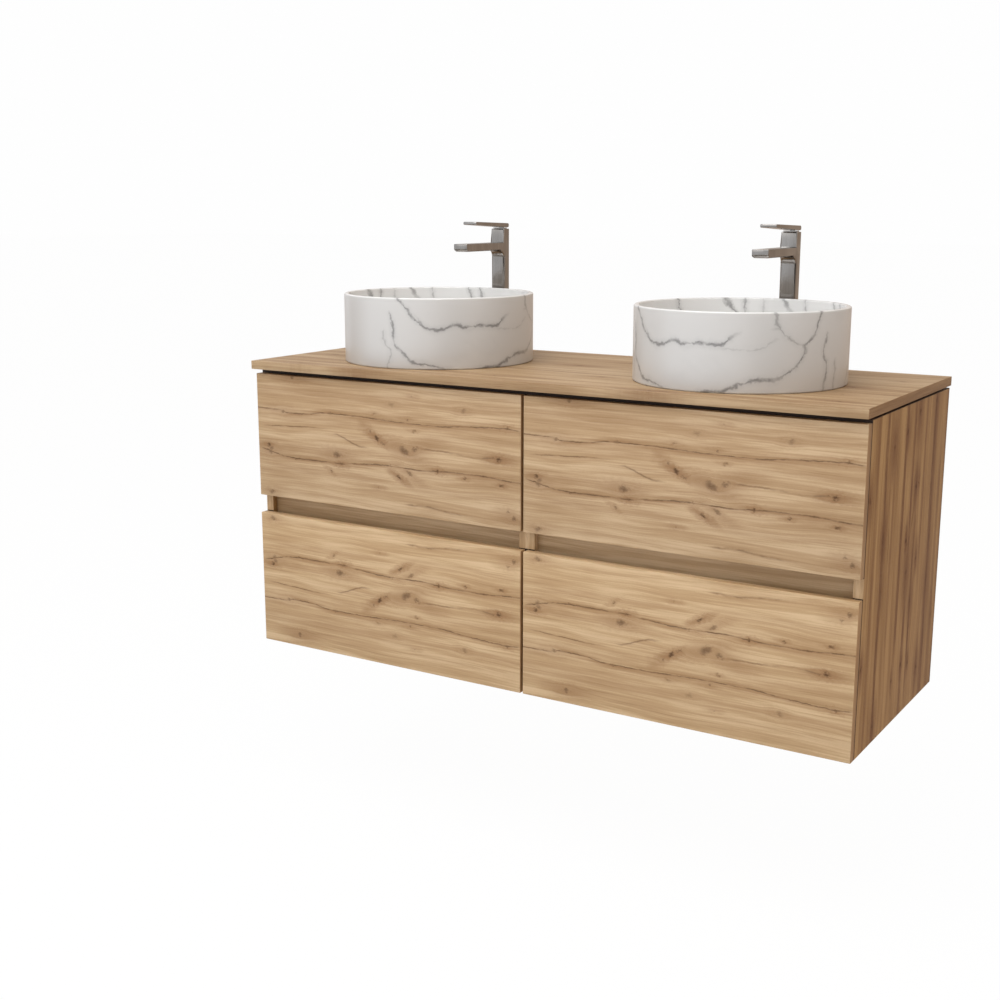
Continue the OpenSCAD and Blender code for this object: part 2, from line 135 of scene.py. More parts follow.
def giveOut(tree, *values):
    # ends a group: one value for each of its outputs, in their order
    ends = tree.nodes.new("NodeGroupOutput").inputs
    for end, value in zip(ends, values):
        tree.links.new(value, end)
    return tree


def useGroup(tree, group, values):
    return addNode(tree, "Group", values, node_tree=group).outputs


def newMaterial(name, **values):  # values are the shader's own input names, with _ for a space
    made = bpy.data.materials.new(name)
    made.use_nodes = True
    shader = made.node_tree.nodes["Principled BSDF"]
    for key, value in values.items():
        shader.inputs[key.replace("_", " ")].default_value = value
    return made, made.node_tree, shader


def objectPlace(tree):
    return addNode(tree, "TexCoord").outputs["Object"]


def dress(tree, shader, colour, roughness, height, strength, distance):
    bump = addNode(tree, "Bump", {"Height": height, "Strength": strength, "Distance": distance})
    for label, value in (("Base Color", colour), ("Roughness", roughness), ("Normal", bump.outputs[0])):
        tree.links.new(value, shader.inputs[label])


# every wood group works in metres: X along the grain, Y across it

def makeGrain():
    tree, takes = newGroup("oakGrain", ["Vector"], {"Band Width": 0.03}, ["Tone"])
    place = takes["Vector"]
    slow = noise(tree, stretch(tree, place, (2.6, 11, 11)), detail=2)
    wander = sway(tree, slow, 0.026)
    shifted = vectorMaths(tree, "ADD", place, join(tree, 0.0, wander))
    rate = maths(tree, "DIVIDE", 1.0, takes["Band Width"])
    bands = noise(tree, vectorMaths(tree, "MULTIPLY", shifted, join(tree, 2.2, rate, rate)))
    middle = noise(tree, stretch(tree, shifted, (4, 95, 95)), detail=2, rough=0.6)
    streaks = noise(tree, stretch(tree, shifted, (9, 340, 340)), detail=2, rough=0.6)
    fibres = noise(tree, stretch(tree, shifted, (45, 1500, 1500)), detail=2, rough=0.6)
    flecks = noise(tree, stretch(tree, place, (260, 420, 420)), detail=2, rough=0.6)
    tone = timesPlus(tree, remap(tree, bands, 0.34, 0.70), 0.28, 0.04)
    tone = timesPlus(tree, remap(tree, middle, 0.34, 0.72), 0.24, tone)
    tone = timesPlus(tree, remap(tree, streaks, 0.34, 0.74), 0.22, tone)
    tone = timesPlus(tree, fibres, 0.14, tone)
    tone = timesPlus(tree, flecks, 0.12, tone)
    return giveOut(tree, tone)


def makePores():
    # the brushed surface: long fibres and short open pores
    tree, takes = newGroup("oakPores", ["Vector"], {}, ["Height"])
    fibres = noise(tree, stretch(tree, takes["Vector"], (30, 1100, 1100)), detail=2, rough=0.6)
    pores = remap(tree, noise(tree, stretch(tree, takes["Vector"], (190, 2300, 2300)), detail=1), 0.30, 0.42)
    return giveOut(tree, timesPlus(tree, pores, 0.6, fibres))


def makeKnot():
    # the push swells the grain round the knot
    tree, takes = newGroup("oakKnot", ["Vector", "Centre"], {
        "Radius": 0.004, "Halo": 3.0, "Slant": 0.0, "Strength": 1.0}, ["Core", "Halo", "Push"])
    apart = split(tree, vectorMaths(tree, "SUBTRACT", takes["Vector"], takes["Centre"]))
    along = maths(tree, "DIVIDE", apart[0], takes["Radius"])
    lean = timesPlus(tree, along, takes["Slant"], maths(tree, "DIVIDE", apart[1], takes["Radius"]))
    core = vectorMaths(tree, "LENGTH", join(tree, times(tree, along, 0.7), lean))
    core = remap(tree, core, 0.1, 1.3, 1, 0)
    halo = vectorMaths(tree, "LENGTH", join(tree, times(tree, along, 0.30), lean))
    halo = remap(tree, maths(tree, "DIVIDE", halo, takes["Halo"]), 0.0, 1.35, 1, 0)
    swell = vectorMaths(tree, "LENGTH", join(tree, times(tree, along, 0.14), times(tree, lean, 0.3)))
    push = times(tree, apart[1], remap(tree, swell, 0.0, 1.0, 0.75, 0))
    return giveOut(tree, times(tree, core, takes["Strength"]), times(tree, halo, takes["Strength"]),
                   times(tree, push, -1))


grainGroup = makeGrain()
poresGroup = makePores()
knotGroup = makeKnot()

# knots are (along, across, radius, halo, strength) and cracks a line of (along, across), all in millimetres
# from the panel's corner, with across counted from the finger channel on the fronts
frontFigure = {
    "size": (600, 260),
    "knots": [
        (287, 137, 4.6, 3.0, 1.0, 0.4), (272, 149, 2.5, 6.0, 0.6, 0.7), (301, 127, 2.2, 5.0, 0.6, 0.6),
        (550, 122.5, 4.6, 2.8, 1.0), (538, 124, 2.0, 6.0, 0.5), (347, 119, 8.5, 2.8, 0.7, 0.3),
        (372, 124, 5.0, 5.0, 0.6, -0.3), (24, 102, 3.4, 3.0, 0.9), (32, 95, 4.5, 3.4, 0.6),
        (30, 88, 4.5, 4, 0.6), (192, 97, 7.0, 3.0, 0.7), (202, 80.5, 2.6, 4.0, 0.9),
        (178, 64, 3.2, 2.4, 0.6, 0.5), (337, 69, 3.8, 3.2, 0.95, 0.5), (357, 78, 5.0, 3.4, 0.6, 0.5),
        (480, 82, 2.7, 2.6, 0.7), (556, 77, 3.0, 2.4, 0.8), (422, 88.6, 2.8, 3.6, 0.9),
        (316, 89, 2.2, 3.5, 0.5), (570, 31, 3.0, 4.0, 0.5), (581, 21, 4.4, 3.2, 0.7),
        (29, 9, 5.0, 2.6, 0.55), (90, 237, 5.0, 3.4, 0.6), (476, 202, 5.0, 2.4, 0.4),
        (320, 201, 4.2, 3.0, 0.35), (566, 178, 2.8, 3.0, 0.8), (370, 157, 3.0, 2.2, 0.5),
        (64, 169, 4.2, 4.0, 0.55), (355, 176, 2.2, 4.0, 0.6), (281, 182, 3.0, 3.4, 0.4),
        (178, 175, 1.8, 5.0, 0.5), (366, 218.5, 0.9, 9.0, 0.5), (290, 45.5, 0.9, 8.0, 0.5),
        (93, 79, 1.8, 2.0, 0.5),
    ],
    "cracks": [
        {"line": [(0, 172.5), (60, 171.5), (76, 167), (120, 168), (175, 174), (250, 173.5), (300, 171),
                  (360, 169.5), (420, 169.5), (470, 173), (530, 176.5), (560, 177.5), (600, 175)],
         "wide": 0.75, "dark": 0.85, "shade": 11, "span": (-20, 620)},
        {"line": [(0, 96), (30, 90), (45, 86), (65, 82.5), (125, 80.5), (180, 80.8), (205, 80.5), (600, 80)],
         "wide": 0.85, "dark": 0.9, "shade": 10, "span": (10, 215)},
        {"line": [(0, 84), (205, 83), (310, 88), (345, 87.5), (385, 86), (422, 88.5), (480, 90),
                  (530, 88.6), (560, 86.5), (600, 85)],
         "wide": 0.85, "dark": 0.85, "shade": 12, "span": (225, 620)},
        {"line": [(0, 138), (25, 138.8), (75, 141), (115, 143), (145, 143.8), (600, 144)],
         "wide": 0.7, "dark": 0.6, "shade": 3, "span": (20, 165)},
        {"line": [(0, 136), (190, 135.5), (205, 132), (222, 126), (238, 120), (258, 117), (600, 117)],
         "wide": 1.1, "dark": 0.5, "shade": 5, "span": (190, 262)},
        {"line": [(0, 130), (395, 126), (440, 125.5), (470, 123), (500, 120.5), (530, 123), (560, 124),
                  (600, 124)],
         "wide": 1.1, "dark": 0.45, "shade": 4, "span": (390, 545)},
        {"line": [(0, 17), (365, 19.5), (385, 21.3), (405, 21), (430, 17.5), (470, 14), (600, 12)],
         "wide": 1.2, "dark": 0.5, "shade": 5, "span": (355, 490)},
    ],
    "bands": [
        (208, 18, 0.42, -90, 400), (206, 14, 0.30, 380, 700), (160, 13, 0.34, -90, 260),
        (152, 9, 0.30, 300, 700), (100, 11, 0.55, 0, 200), (107, 9, 0.35, 200, 420),
        (60, 14, 0.40, 20, 300), (52, 12, 0.36, 330, 600), (131, 8, 0.34, 150, 420),
        (228, 8, 0.30, 350, 700), (12, 9, 0.30, -90, 250), (8, 8, 0.30, 300, 700), (185, 8, 0.28, 180, 420),
        (74, 8, 0.32, 330, 700),
    ],
}
sideFigure = {
    "size": (560, 460),
    "knots": [
        (144, 258, 4.6, 3.4, 0.7), (139, 272, 2.6, 3.5, 0.5), (229, 217, 3.4, 3.6, 0.8),
        (240, 224, 3.0, 4.0, 0.5), (273, 283, 3.4, 4.0, 0.6), (46, 190, 4.4, 4.0, 0.7),
        (19, 256, 4.4, 5.0, 0.6), (204, 87, 4.0, 5.0, 0.7), (462, 179, 3.2, 3.2, 0.5),
        (448, 231, 3.8, 3.0, 0.8), (454, 272, 2.2, 4.0, 0.6), (480, 328, 4.0, 5.0, 0.6),
        (60, 121, 4.0, 6.0, 0.6), (125, 8, 4.4, 3.4, 0.6), (392, 9, 4.4, 3.4, 0.6),
        (286, 90, 3.4, 5.0, 0.5), (285, 229, 5.0, 6.0, 0.6), (343, 262, 3.0, 7.0, 0.6),
        (12, 352, 4.0, 4.0, 0.5), (402, 404, 3.4, 4.0, 0.4), (510, 88, 5.0, 4.0, 0.5),
        (325, 358, 4.4, 8.0, 0.5),
    ],
    "cracks": [
        {"line": [(0, 86), (100, 84), (200, 87), (290, 90), (400, 84), (540, 90)],
         "wide": 1.8, "dark": 0.35, "shade": 9, "span": (-20, 580)},
        {"line": [(0, 192), (120, 184), (240, 186), (330, 192), (400, 186), (540, 190)],
         "wide": 1.8, "dark": 0.3, "shade": 8, "span": (-20, 330)},
        {"line": [(0, 262), (180, 250), (250, 232), (300, 226), (380, 232), (540, 236)],
         "wide": 1.6, "dark": 0.35, "shade": 9, "span": (150, 330)},
        {"line": [(0, 256), (240, 262), (330, 262), (400, 263), (460, 268), (540, 270)],
         "wide": 1.6, "dark": 0.4, "shade": 7, "span": (235, 475)},
        {"line": [(0, 356), (120, 352), (250, 360), (340, 356), (440, 362), (540, 358)],
         "wide": 2.0, "dark": 0.4, "shade": 14, "span": (-20, 470)},
        {"line": [(0, 112), (120, 110), (180, 114), (240, 118), (540, 120)],
         "wide": 1.4, "dark": 0.3, "shade": 5, "span": (120, 250)},
    ],
    "bands": [
        (40, 9, 0.5, -90, 700), (84, 11, 0.85, -90, 700), (130, 8, 0.5, 60, 400), (186, 11, 0.85, -90, 420),
        (232, 10, 0.85, -90, 700), (262, 9, 0.8, 180, 520), (300, 9, 0.6, -90, 300),
        (356, 18, 0.9, -90, 700), (400, 12, 0.6, 100, 700), (438, 22, 0.95, -90, 700),
    ],
}
topFigure = {
    "size": (1200, 460),
    "knots": [
        (575, 200, 5.0, 4.0, 0.6), (690, 330, 4.0, 3.5, 0.5), (1100, 232, 4.6, 4.0, 0.6),
        (1150, 120, 3.6, 3.0, 0.4), (70, 290, 4.4, 4.0, 0.5), (110, 440, 4.0, 5.0, 0.5),
        (255, 452, 4.0, 5.0, 0.5), (840, 449, 4.0, 6.0, 0.6), (1135, 408, 4.0, 5.0, 0.5),
        (640, 120, 4.0, 4.0, 0.4), (520, 410, 3.6, 4.0, 0.4), (1115, 330, 3.4, 4.0, 0.4),
    ],
    "cracks": [
        {"line": [(0, 300), (150, 296), (300, 304), (480, 292), (620, 300), (800, 296), (1000, 306),
                  (1200, 300)],
         "wide": 1.0, "dark": 0.5, "shade": 9, "span": (-20, 1240)},
        {"line": [(0, 180), (180, 186), (380, 178), (560, 198), (700, 190), (900, 200), (1080, 230),
                  (1200, 236)],
         "wide": 1.0, "dark": 0.45, "shade": 9, "span": (-20, 1240)},
        {"line": [(0, 400), (150, 404), (350, 398), (560, 408), (760, 400), (980, 396), (1120, 404),
                  (1200, 410)],
         "wide": 0.8, "dark": 0.4, "shade": 6, "span": (-20, 1240)},
        {"line": [(0, 60), (300, 66), (600, 58), (900, 70), (1200, 62)],
         "wide": 1.0, "dark": 0.4, "shade": 8, "span": (-20, 1240)},
        {"line": [(0, 452), (600, 452), (800, 450), (850, 447), (900, 452), (1200, 452)],
         "wide": 1.2, "dark": 0.45, "shade": 4, "span": (770, 930)},
    ],
    "bands": [
        (30, 26, 0.45, -90, 1300), (105, 14, 0.3, 300, 1300), (186, 18, 0.4, 100, 760),
        (250, 16, 0.3, 400, 1300), (300, 16, 0.5, -90, 700), (330, 14, 0.35, 800, 1300),
        (402, 16, 0.55, -90, 640), (440, 12, 0.45, 500, 1300), (60, 30, 0.5, -90, 420),
        (150, 24, 0.5, -90, 420), (240, 26, 0.5, -90, 330), (440, 16, 0.5, -90, 500),
        (360, 18, 0.5, -90, 200),
    ],
}


def drawLine(tree, source, points, size):
    # a line drawn through given points: takes the distance along a panel and gives the line's place across it,
    # in metres
    curve = addNode(tree, "FloatCurve", {"Value": maths(tree, "DIVIDE", source, size[0] / 1000)})
    drawn = curve.mapping.curves[0]
    while len(drawn.points) < len(points):
        drawn.points.new(0.5, 0.5)
    for dot, (along, across) in zip(drawn.points, points):
        dot.location = (along / size[0], across / size[1])
        dot.handle_type = "AUTO_CLAMPED"
    curve.mapping.update()
    return times(tree, curve.outputs[0], size[1] / 1000)


def makeFigure(name, figure):
    # every mark starts from the same ragged place, which keeps the memory that Cycles needs small
    tree, takes = newGroup(name, ["Vector"], {}, ["Dark", "Stain", "Push"])
    place = takes["Vector"]
    jag = noise(tree, stretch(tree, place, (60, 60, 0)), detail=4, rough=0.62)
    rough = noise(tree, stretch(tree, place, (120, 210, 0)), detail=4, rough=0.7)
    uneven = noise(tree, stretch(tree, place, (26, 12, 0), (3, 0, 0)), detail=3, rough=0.6)
    lively = remap(tree, uneven, 0.36, 0.60, 0.15, 1)
    wisps = noise(tree, stretch(tree, place, (9, 260, 0), (0, 5, 0)), detail=3, rough=0.6)
    wisps = remap(tree, wisps, 0.3, 0.7, 0.3, 1)
    swing = sway(tree, jag, 0.005)
    soft = vectorMaths(tree, "ADD", place, join(tree, swing, swing))
    ragged = vectorMaths(tree, "ADD", place, join(tree, sway(tree, jag, 0.022), sway(tree, rough, 0.017)))
    along, across = split(tree, soft)[:2]
    dark, stain, push = 0.0, 0.0, 0.0
    for crack in figure["cracks"]:
        off = minus(tree, across, drawLine(tree, along, crack["line"], figure["size"]))
        off = maths(tree, "ABSOLUTE", off)
        start, end = crack["span"][0] / 1000, crack["span"][1] / 1000
        within = between(tree, along, (start - 0.012, start + 0.012), (end - 0.02, end + 0.012))
        line = remap(tree, off, 0.0, crack["wide"] / 1000 * 2.4, crack["dark"], 0)
        dark = larger(tree, times(tree, times(tree, line, lively), within), dark)
        shade = remap(tree, off, 0.0, crack["shade"] / 1000, crack["dark"], 0)
        stain = larger(tree, times(tree, times(tree, shade, wisps), within), stain)
    for middle, half, strength, start, end in figure["bands"]:
        off = maths(tree, "ABSOLUTE", minus(tree, across, middle / 1000))
        band = times(tree, remap(tree, off, half * 0.2 / 1000, half / 1000, strength, 0), wisps)
        within = between(tree, along, ((start - 60) / 1000, (start + 60) / 1000),
                         ((end - 60) / 1000, (end + 60) / 1000))
        stain = larger(tree, times(tree, band, within), stain)
    for x, y, radius, halo, strength, *slant in figure["knots"]:
        knot = useGroup(tree, knotGroup, {
            "Vector": ragged, "Centre": (x / 1000, y / 1000, 0), "Radius": radius / 1000,
            "Halo": halo, "Strength": strength, "Slant": slant[0] if slant else 0.0})
        dark = larger(tree, knot["Core"], dark)
        stain = larger(tree, knot["Halo"], stain)
        push = maths(tree, "ADD", knot["Push"], push)
    return giveOut(tree, dark, stain, push)


oak = {
    "pale": (0.612, 0.436, 0.258, 1),
    "tan": (0.462, 0.300, 0.155, 1),
    "brown": (0.322, 0.184, 0.080, 1),
    "stain": (0.255, 0.120, 0.040, 1),
    "crack": (0.100, 0.046, 0.018, 1),
    "end": (0.66, 0.55, 0.44, 1),
    "upper": (0.94, 0.95, 0.97, 1),
    "lower": (1.00, 1.01, 1.00, 1),
    "roughness": (0.42, 0.60),
    "banding": 0.0006,  # thickness of the banding on an end face
}
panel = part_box("right_outer_side")
# painted shade: colour and places of the dark band painted on the carcass edges for the shade in the gaps
# behind the fronts and under the worktop
gapShade = {
    "behind": panel[0].y + 0.0008,
    "top": panel[1].z - 0.0008,
    "channel": (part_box("right_lower_front")[1].z + 0.0015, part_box("right_upper_front")[0].z - 0.0015),
    "colour": (0.030, 0.011, 0.003, 1),
}


def makeOak(name, figure=None, bandWidth=0.03, tint=(1, 1, 1, 1), corner=(0, 0, 0), flip=1, axes="XZ",
            gapShaded=False, ends=None, soak=0.8):
    # corner is the panel's corner in the row frame, axes says which of its axes run along and across the grain,
    # ends are the places of two end faces with a banding of their own, and soak is how far stains show
    made, tree, shader = newMaterial(name)
    spot = objectPlace(tree)
    parts = dict(zip("XYZ", split(tree, vectorMaths(tree, "SUBTRACT", spot, corner))))
    across = times(tree, parts[axes[1]], flip)
    deep = parts[({"X", "Y", "Z"} - set(axes)).pop()]
    along = parts[axes[0]]
    if axes[0] == "Z":
        along = times(tree, along, -1)
    place = join(tree, along, across, deep)
    at = split(tree, spot)
    if ends:
        fromMiddle = maths(tree, "ABSOLUTE", minus(tree, at[0], (ends[0] + ends[1]) / 2))
        atEnd = maths(tree, "GREATER_THAN", fromMiddle, (ends[1] - ends[0]) / 2 - oak["banding"])
        banded = join(tree, maths(tree, "ADD", across, 3.0), deep)
        place = addNode(tree, "Mix", {0: atEnd, 4: place, 5: banded}, data_type="VECTOR").outputs[1]
    height = useGroup(tree, poresGroup, {"Vector": place})["Height"]
    roughness = remap(tree, height, 0.4, 1.3, *oak["roughness"])
    if figure:
        marks = useGroup(tree, figure, {"Vector": place})
        roughness = timesPlus(tree, marks["Dark"], 0.25, roughness)
        place = vectorMaths(tree, "ADD", place, join(tree, 0.0, marks["Push"]))
    tone = useGroup(tree, grainGroup, {"Vector": place, "Band Width": bandWidth})["Tone"]
    colour = mixColour(tree, remap(tree, tone, 0.22, 0.58), oak["pale"], oak["tan"])
    colour = mixColour(tree, remap(tree, tone, 0.52, 0.95), colour, oak["brown"])
    if figure:
        colour = mixColour(tree, times(tree, marks["Stain"], soak), colour, oak["stain"])
        colour = mixColour(tree, marks["Dark"], colour, oak["crack"])
    # the tint multiplies the colour, on a gap-shaded board only behind its front edge; the side panel's and the
    # worktop's tints are painted shade
    behind = maths(tree, "GREATER_THAN", at[1], gapShade["behind"]) if gapShaded else 1.0
    colour = mixColour(tree, behind, colour, tint, "MULTIPLY")
    if ends:
        colour = mixColour(tree, atEnd, colour, mixColour(tree, 1.0, colour, oak["end"], "MULTIPLY"))
    if gapShaded:
        # painted shade: the edges behind the drawer fronts and under the worktop get a dark band that stands in
        # for the shade in the gaps, and the edges in the finger channel none
        seen = times(tree, maths(tree, "GREATER_THAN", at[2], gapShade["channel"][0]),
                     maths(tree, "LESS_THAN", at[2], gapShade["channel"][1]))
        band = minus(tree, maths(tree, "LESS_THAN", at[1], gapShade["behind"]), seen)
        band = larger(tree, band, maths(tree, "GREATER_THAN", at[2], gapShade["top"]))
        colour = mixColour(tree, band, colour, gapShade["colour"])
    dress(tree, shader, colour, roughness, height, 0.35, 0.0003)
    return made


frontGroup = makeFigure("frontFigure", frontFigure)
sideGroup = makeFigure("sideFigure", sideFigure)
topGroup = makeFigure("topFigure", topFigure)

fronts = {}
for side in sides:
    for level in ("upper", "lower"):
        name = f"{side}_{level}_front"
        low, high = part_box(name)
        edge = low.z if level == "upper" else high.z
        fronts[name] = makeOak(f"oak_{name}", frontGroup, tint=oak[level], corner=(low.x, low.y, edge),
                               flip=1 if level == "upper" else -1, ends=(low.x, high.x))
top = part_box("worktop")
# painted shade: the worktop's grey tint darkens its top to offset the strong top lamp
oakTop = makeOak("oak_worktop", topGroup, 0.04, (0.76, 0.75, 0.74, 1), (top[0].x, top[1].y, top[1].z), -1, "XY",
                 ends=(top[0].x, top[1].x), soak=1.15)
# painted shade: the side panel's darker, warmer tint stands in for shade on the side turned from the light
oakSide = makeOak("oak_side", sideGroup, 0.022, (0.645, 0.515, 0.330, 1),
                  corner=(panel[0].x, panel[0].y, panel[1].z), axes="ZY", gapShaded=True, soak=1.5)
# painted shade: these boards, like the side panel, get the dark band on their edges in the gaps
oakInside = makeOak("oak_inside", None, 0.026, gapShaded=True)
oakUpright = makeOak("oak_upright", None, 0.02, corner=(0.3, 0, 0), axes="ZY", gapShaded=True)
print("wood materials made")


# veins are drawn on the unrolled wall: degrees round the sink, and millimetres down from the rim

marble = {
    "perDegree": 3.14,  # millimetres of wall for each degree
    "haze": 12.0,  # millimetres of grey to either side of a vein
    "fade": (0.118, 0.152),  # radii between which the floor's veins give way to the wall's
    "white": (0.585, 0.577, 0.565, 1),
    # painted light: the whiter glaze colour for the bowl's inside and the top of the rim
    "inside": (0.730, 0.725, 0.712, 1),
    "cloud": (0.480, 0.476, 0.470, 1),
    "vein": (0.115, 0.110, 0.108, 1),
    "garlands": [
        {"line": [(-150, 20), (-130, 24), (-123, 44), (-118, 54), (-113, 57), (-107, 51), (-103, 46),
                  (-96, 53), (-88, 49), (-80, 52), (-73, 39), (-68, 30)],
         "wide": 2.6, "dark": 0.95, "span": (-124, -70)},
        {"line": [(-150, 80), (-139, 92), (-134, 100), (-128, 113), (-117, 120), (-108, 127), (-95, 134)],
         "wide": 2.4, "dark": 0.9, "span": (-136, -104)},
        {"line": [(-98, 130), (-84, 127), (-74, 123), (-67, 113), (-61, 107), (-50, 106), (-45, 98),
                  (-40, 90), (-20, 60)],
         "wide": 2.8, "dark": 0.95, "span": (-90, -41)},
        {"line": [(-60, 30), (-49, 27), (-46, 34), (-43, 38), (-38, 50), (-32, 58)],
         "wide": 2.0, "dark": 0.55, "span": (-50, -35)},
        {"line": [(-90, 58), (-74, 57), (-66, 59), (-58, 57), (-50, 42), (-40, 38)],
         "wide": 1.6, "dark": 0.3, "span": (-76, -50)},
    ],
    "drops": [  # these run down the wall, so the angle follows the depth
        {"line": [(-20, -138), (0, -137), (15, -132), (37, -126.5), (50, -121), (57, -116), (80, -100)],
         "wide": 2.6, "dark": 0.85, "span": (-16, 54)},
        {"line": [(0, -145), (13, -144), (38, -141), (83, -139), (97, -134.5), (113, -128), (128, -118)],
         "wide": 2.4, "dark": 0.85, "span": (26, 112)},
        {"line": [(-20, -20), (3, -24), (20, -26.4), (37, -28), (50, -33), (72, -35), (90, -40), (98, -44),
                  (106, -50), (128, -58)],
         "wide": 2.8, "dark": 0.95, "span": (-16, 102)},
        {"line": [(-20, -51), (3, -50), (27, -48), (37, -44), (50, -38), (70, -30)],
         "wide": 2.2, "dark": 0.6, "span": (-16, 34)},
        {"line": [(0, -17), (43, -19.2), (63, -20.8), (87, -18.4), (110, -19.2), (128, -20)],
         "wide": 2.2, "dark": 0.8, "span": (34, 140)},
        {"line": [(0, -10), (60, -11), (90, -10.5), (128, -11.5)],
         "wide": 1.8, "dark": 0.5, "span": (76, 140)},
        {"line": [(0, -147), (78, -146), (98, -142), (127, -144)],
         "wide": 1.6, "dark": 0.5, "span": (60, 140)},
        {"line": [(0, 122), (20, 117), (50, 108), (128, 96)], "wide": 5.5, "dark": 0.85, "span": (-10, 100)},
        {"line": [(0, 110), (50, 111), (128, 116)], "wide": 1.8, "dark": 0.7, "span": (-10, 140)},
        {"line": [(0, 154), (40, 149), (128, 140)], "wide": 1.8, "dark": 0.9, "span": (-10, 90)},
        {"line": [(0, 87), (20, 82), (50, 75), (128, 62)], "wide": 4.6, "dark": 0.7, "span": (-10, 120)},
        {"line": [(0, 72), (60, 70), (128, 64)], "wide": 1.8, "dark": 0.6, "span": (-10, 140)},
        {"line": [(0, 99), (60, 99), (128, 92)], "wide": 2.0, "dark": 0.4, "span": (-10, 120)},
        {"line": [(0, 47), (20, 44), (60, 36), (128, 24)], "wide": 3.0, "dark": 0.8, "span": (-10, 110)},
        {"line": [(0, 39), (20, 37), (60, 28), (128, 12)], "wide": 2.4, "dark": 0.7, "span": (-10, 140)},
        {"line": [(0, 8), (60, 12), (128, 4)], "wide": 1.8, "dark": 0.5, "span": (20, 140)},
    ],
    "floor": [  # across the bowl's floor, in millimetres from its middle
        {"line": [(-180, 60), (-120, 52), (-70, 18), (-20, 30), (30, 8), (80, -34), (130, -40), (180, -60)],
         "wide": 2.4, "dark": 0.85, "span": (-150, 128)},
        {"line": [(-180, -40), (-110, -66), (-60, -58), (0, -92), (60, -84), (110, -110), (180, -120)],
         "wide": 1.9, "dark": 0.6, "span": (-128, 60)},
        {"line": [(-180, 120), (-60, 96), (-10, 112), (50, 78), (110, 84), (180, 60)],
         "wide": 2.0, "dark": 0.5, "span": (-40, 130)},
    ],
}


def makeVeins():
    # built once for both sinks: the place is counted from the middle of the rim, in metres
    tree, takes = newGroup("marbleVeins", ["Vector"], {}, ["Vein", "Cloud", "Glaze"])
    place = takes["Vector"]
    apart = split(tree, place)
    jagX = noise(tree, stretch(tree, place, (55, 55, 55)), detail=5, rough=0.7)
    jagY = noise(tree, stretch(tree, place, (50, 50, 50), (5, 2, 8)), detail=5, rough=0.7)
    degrees = times(tree, maths(tree, "ARCTAN2", apart[1], apart[0]), 180 / math.pi)
    degrees = sway(tree, jagX, 6.0, degrees)
    depth = sway(tree, jagY, 18.0, times(tree, apart[2], -1000))
    patchy = noise(tree, stretch(tree, place, (38, 38, 38), (1, 1, 1)), detail=4, rough=0.7)
    strength = remap(tree, patchy, 0.34, 0.58, 0.45, 1.0)
    swell = noise(tree, stretch(tree, place, (60, 60, 60), (9, 4, 1)), detail=3)
    swell = remap(tree, swell, 0.3, 0.7, 0.55, 1.8)
    # round the middle the wall's veins would all meet, so they fade there and the floor has its own
    radius = vectorMaths(tree, "LENGTH", vectorMaths(tree, "MULTIPLY", place, (1, 1, 0)))
    onWall = remap(tree, radius, *marble["fade"])
    onFloor = remap(tree, radius, *marble["fade"], 1, 0)
    eastward = sway(tree, jagX, 20.0, times(tree, apart[0], 1000))
    northward = sway(tree, jagY, 20.0, times(tree, apart[1], 1000))
    dark, cloud = 0.0, 0.0
    for veins, along, across, size, low, patch in (
            ("garlands", degrees, depth, (360, 200), (-180, -40), onWall),
            ("drops", depth, degrees, (200, 360), (-40, -180), onWall),
            ("floor", eastward, northward, (360, 360), (-180, -180), onFloor)):
        for vein in marble[veins]:
            points = [(a - low[0], b - low[1]) for a, b in vein["line"]]
            source = maths(tree, "DIVIDE", minus(tree, along, low[0]), 1000)
            drawn = timesPlus(tree, drawLine(tree, source, points, size), 1000, low[1])
            off = maths(tree, "ABSOLUTE", minus(tree, across, drawn))
            if veins == "drops":
                off = times(tree, off, marble["perDegree"])
            start, end = vein["span"]
            within = between(tree, along, (start - 4, start + 4), (end - 4, end + 4))
            within = times(tree, times(tree, within, strength), patch)
            thin = maths(tree, "DIVIDE", off, times(tree, swell, vein["wide"]))
            line = remap(tree, thin, 0.1, 1.25, vein["dark"] * 0.76, 0)
            dark = larger(tree, times(tree, line, within), dark)
            haze = remap(tree, off, 0.0, marble["haze"], 0.7 * vein["dark"], 0)
            cloud = larger(tree, times(tree, haze, within), cloud)
    drift = noise(tree, stretch(tree, place, (9, 9, 13)), detail=4, rough=0.6)
    cloud = larger(tree, cloud, remap(tree, drift, 0.50, 0.80, 0, 0.4))
    return giveOut(tree, dark, cloud, noise(tree, stretch(tree, place, (45, 45, 45)), detail=1))


def makeMarble(name, centre, rim, turned, inner):
    made, tree, shader = newMaterial(name, Coat_Weight=0.5, Coat_Roughness=0.12)
    place = vectorMaths(tree, "SUBTRACT", objectPlace(tree), (centre[0], centre[1], rim))
    turn = {"Vector": place, "Rotation": (0, 0, math.radians(-turned))}
    place = addNode(tree, "Mapping", turn).outputs[0]
    veins = useGroup(tree, veinsGroup, {"Vector": place})
    # painted light: the bowl's inside is painted whiter for light on its inner wall, and the top of the rim
    # whiter as a painted highlight
    flat = vectorMaths(tree, "LENGTH", vectorMaths(tree, "MULTIPLY", place, (1, 1, 0)))
    inside = remap(tree, flat, inner, inner + 0.003, 1, 0)
    rimHighlight = remap(tree, split(tree, place)[2], -0.0022, -0.0006)
    colour = mixColour(tree, larger(tree, inside, rimHighlight), marble["white"], marble["inside"])
    colour = mixColour(tree, veins["Cloud"], colour, marble["cloud"])
    colour = mixColour(tree, veins["Vein"], colour, marble["vein"])
    mottle = noise(tree, stretch(tree, place, (240, 240, 240)), detail=2)
    dress(tree, shader, colour, remap(tree, mottle, 0.3, 0.7, 0.30, 0.40), veins["Glaze"], 0.08, 0.0005)
    return made


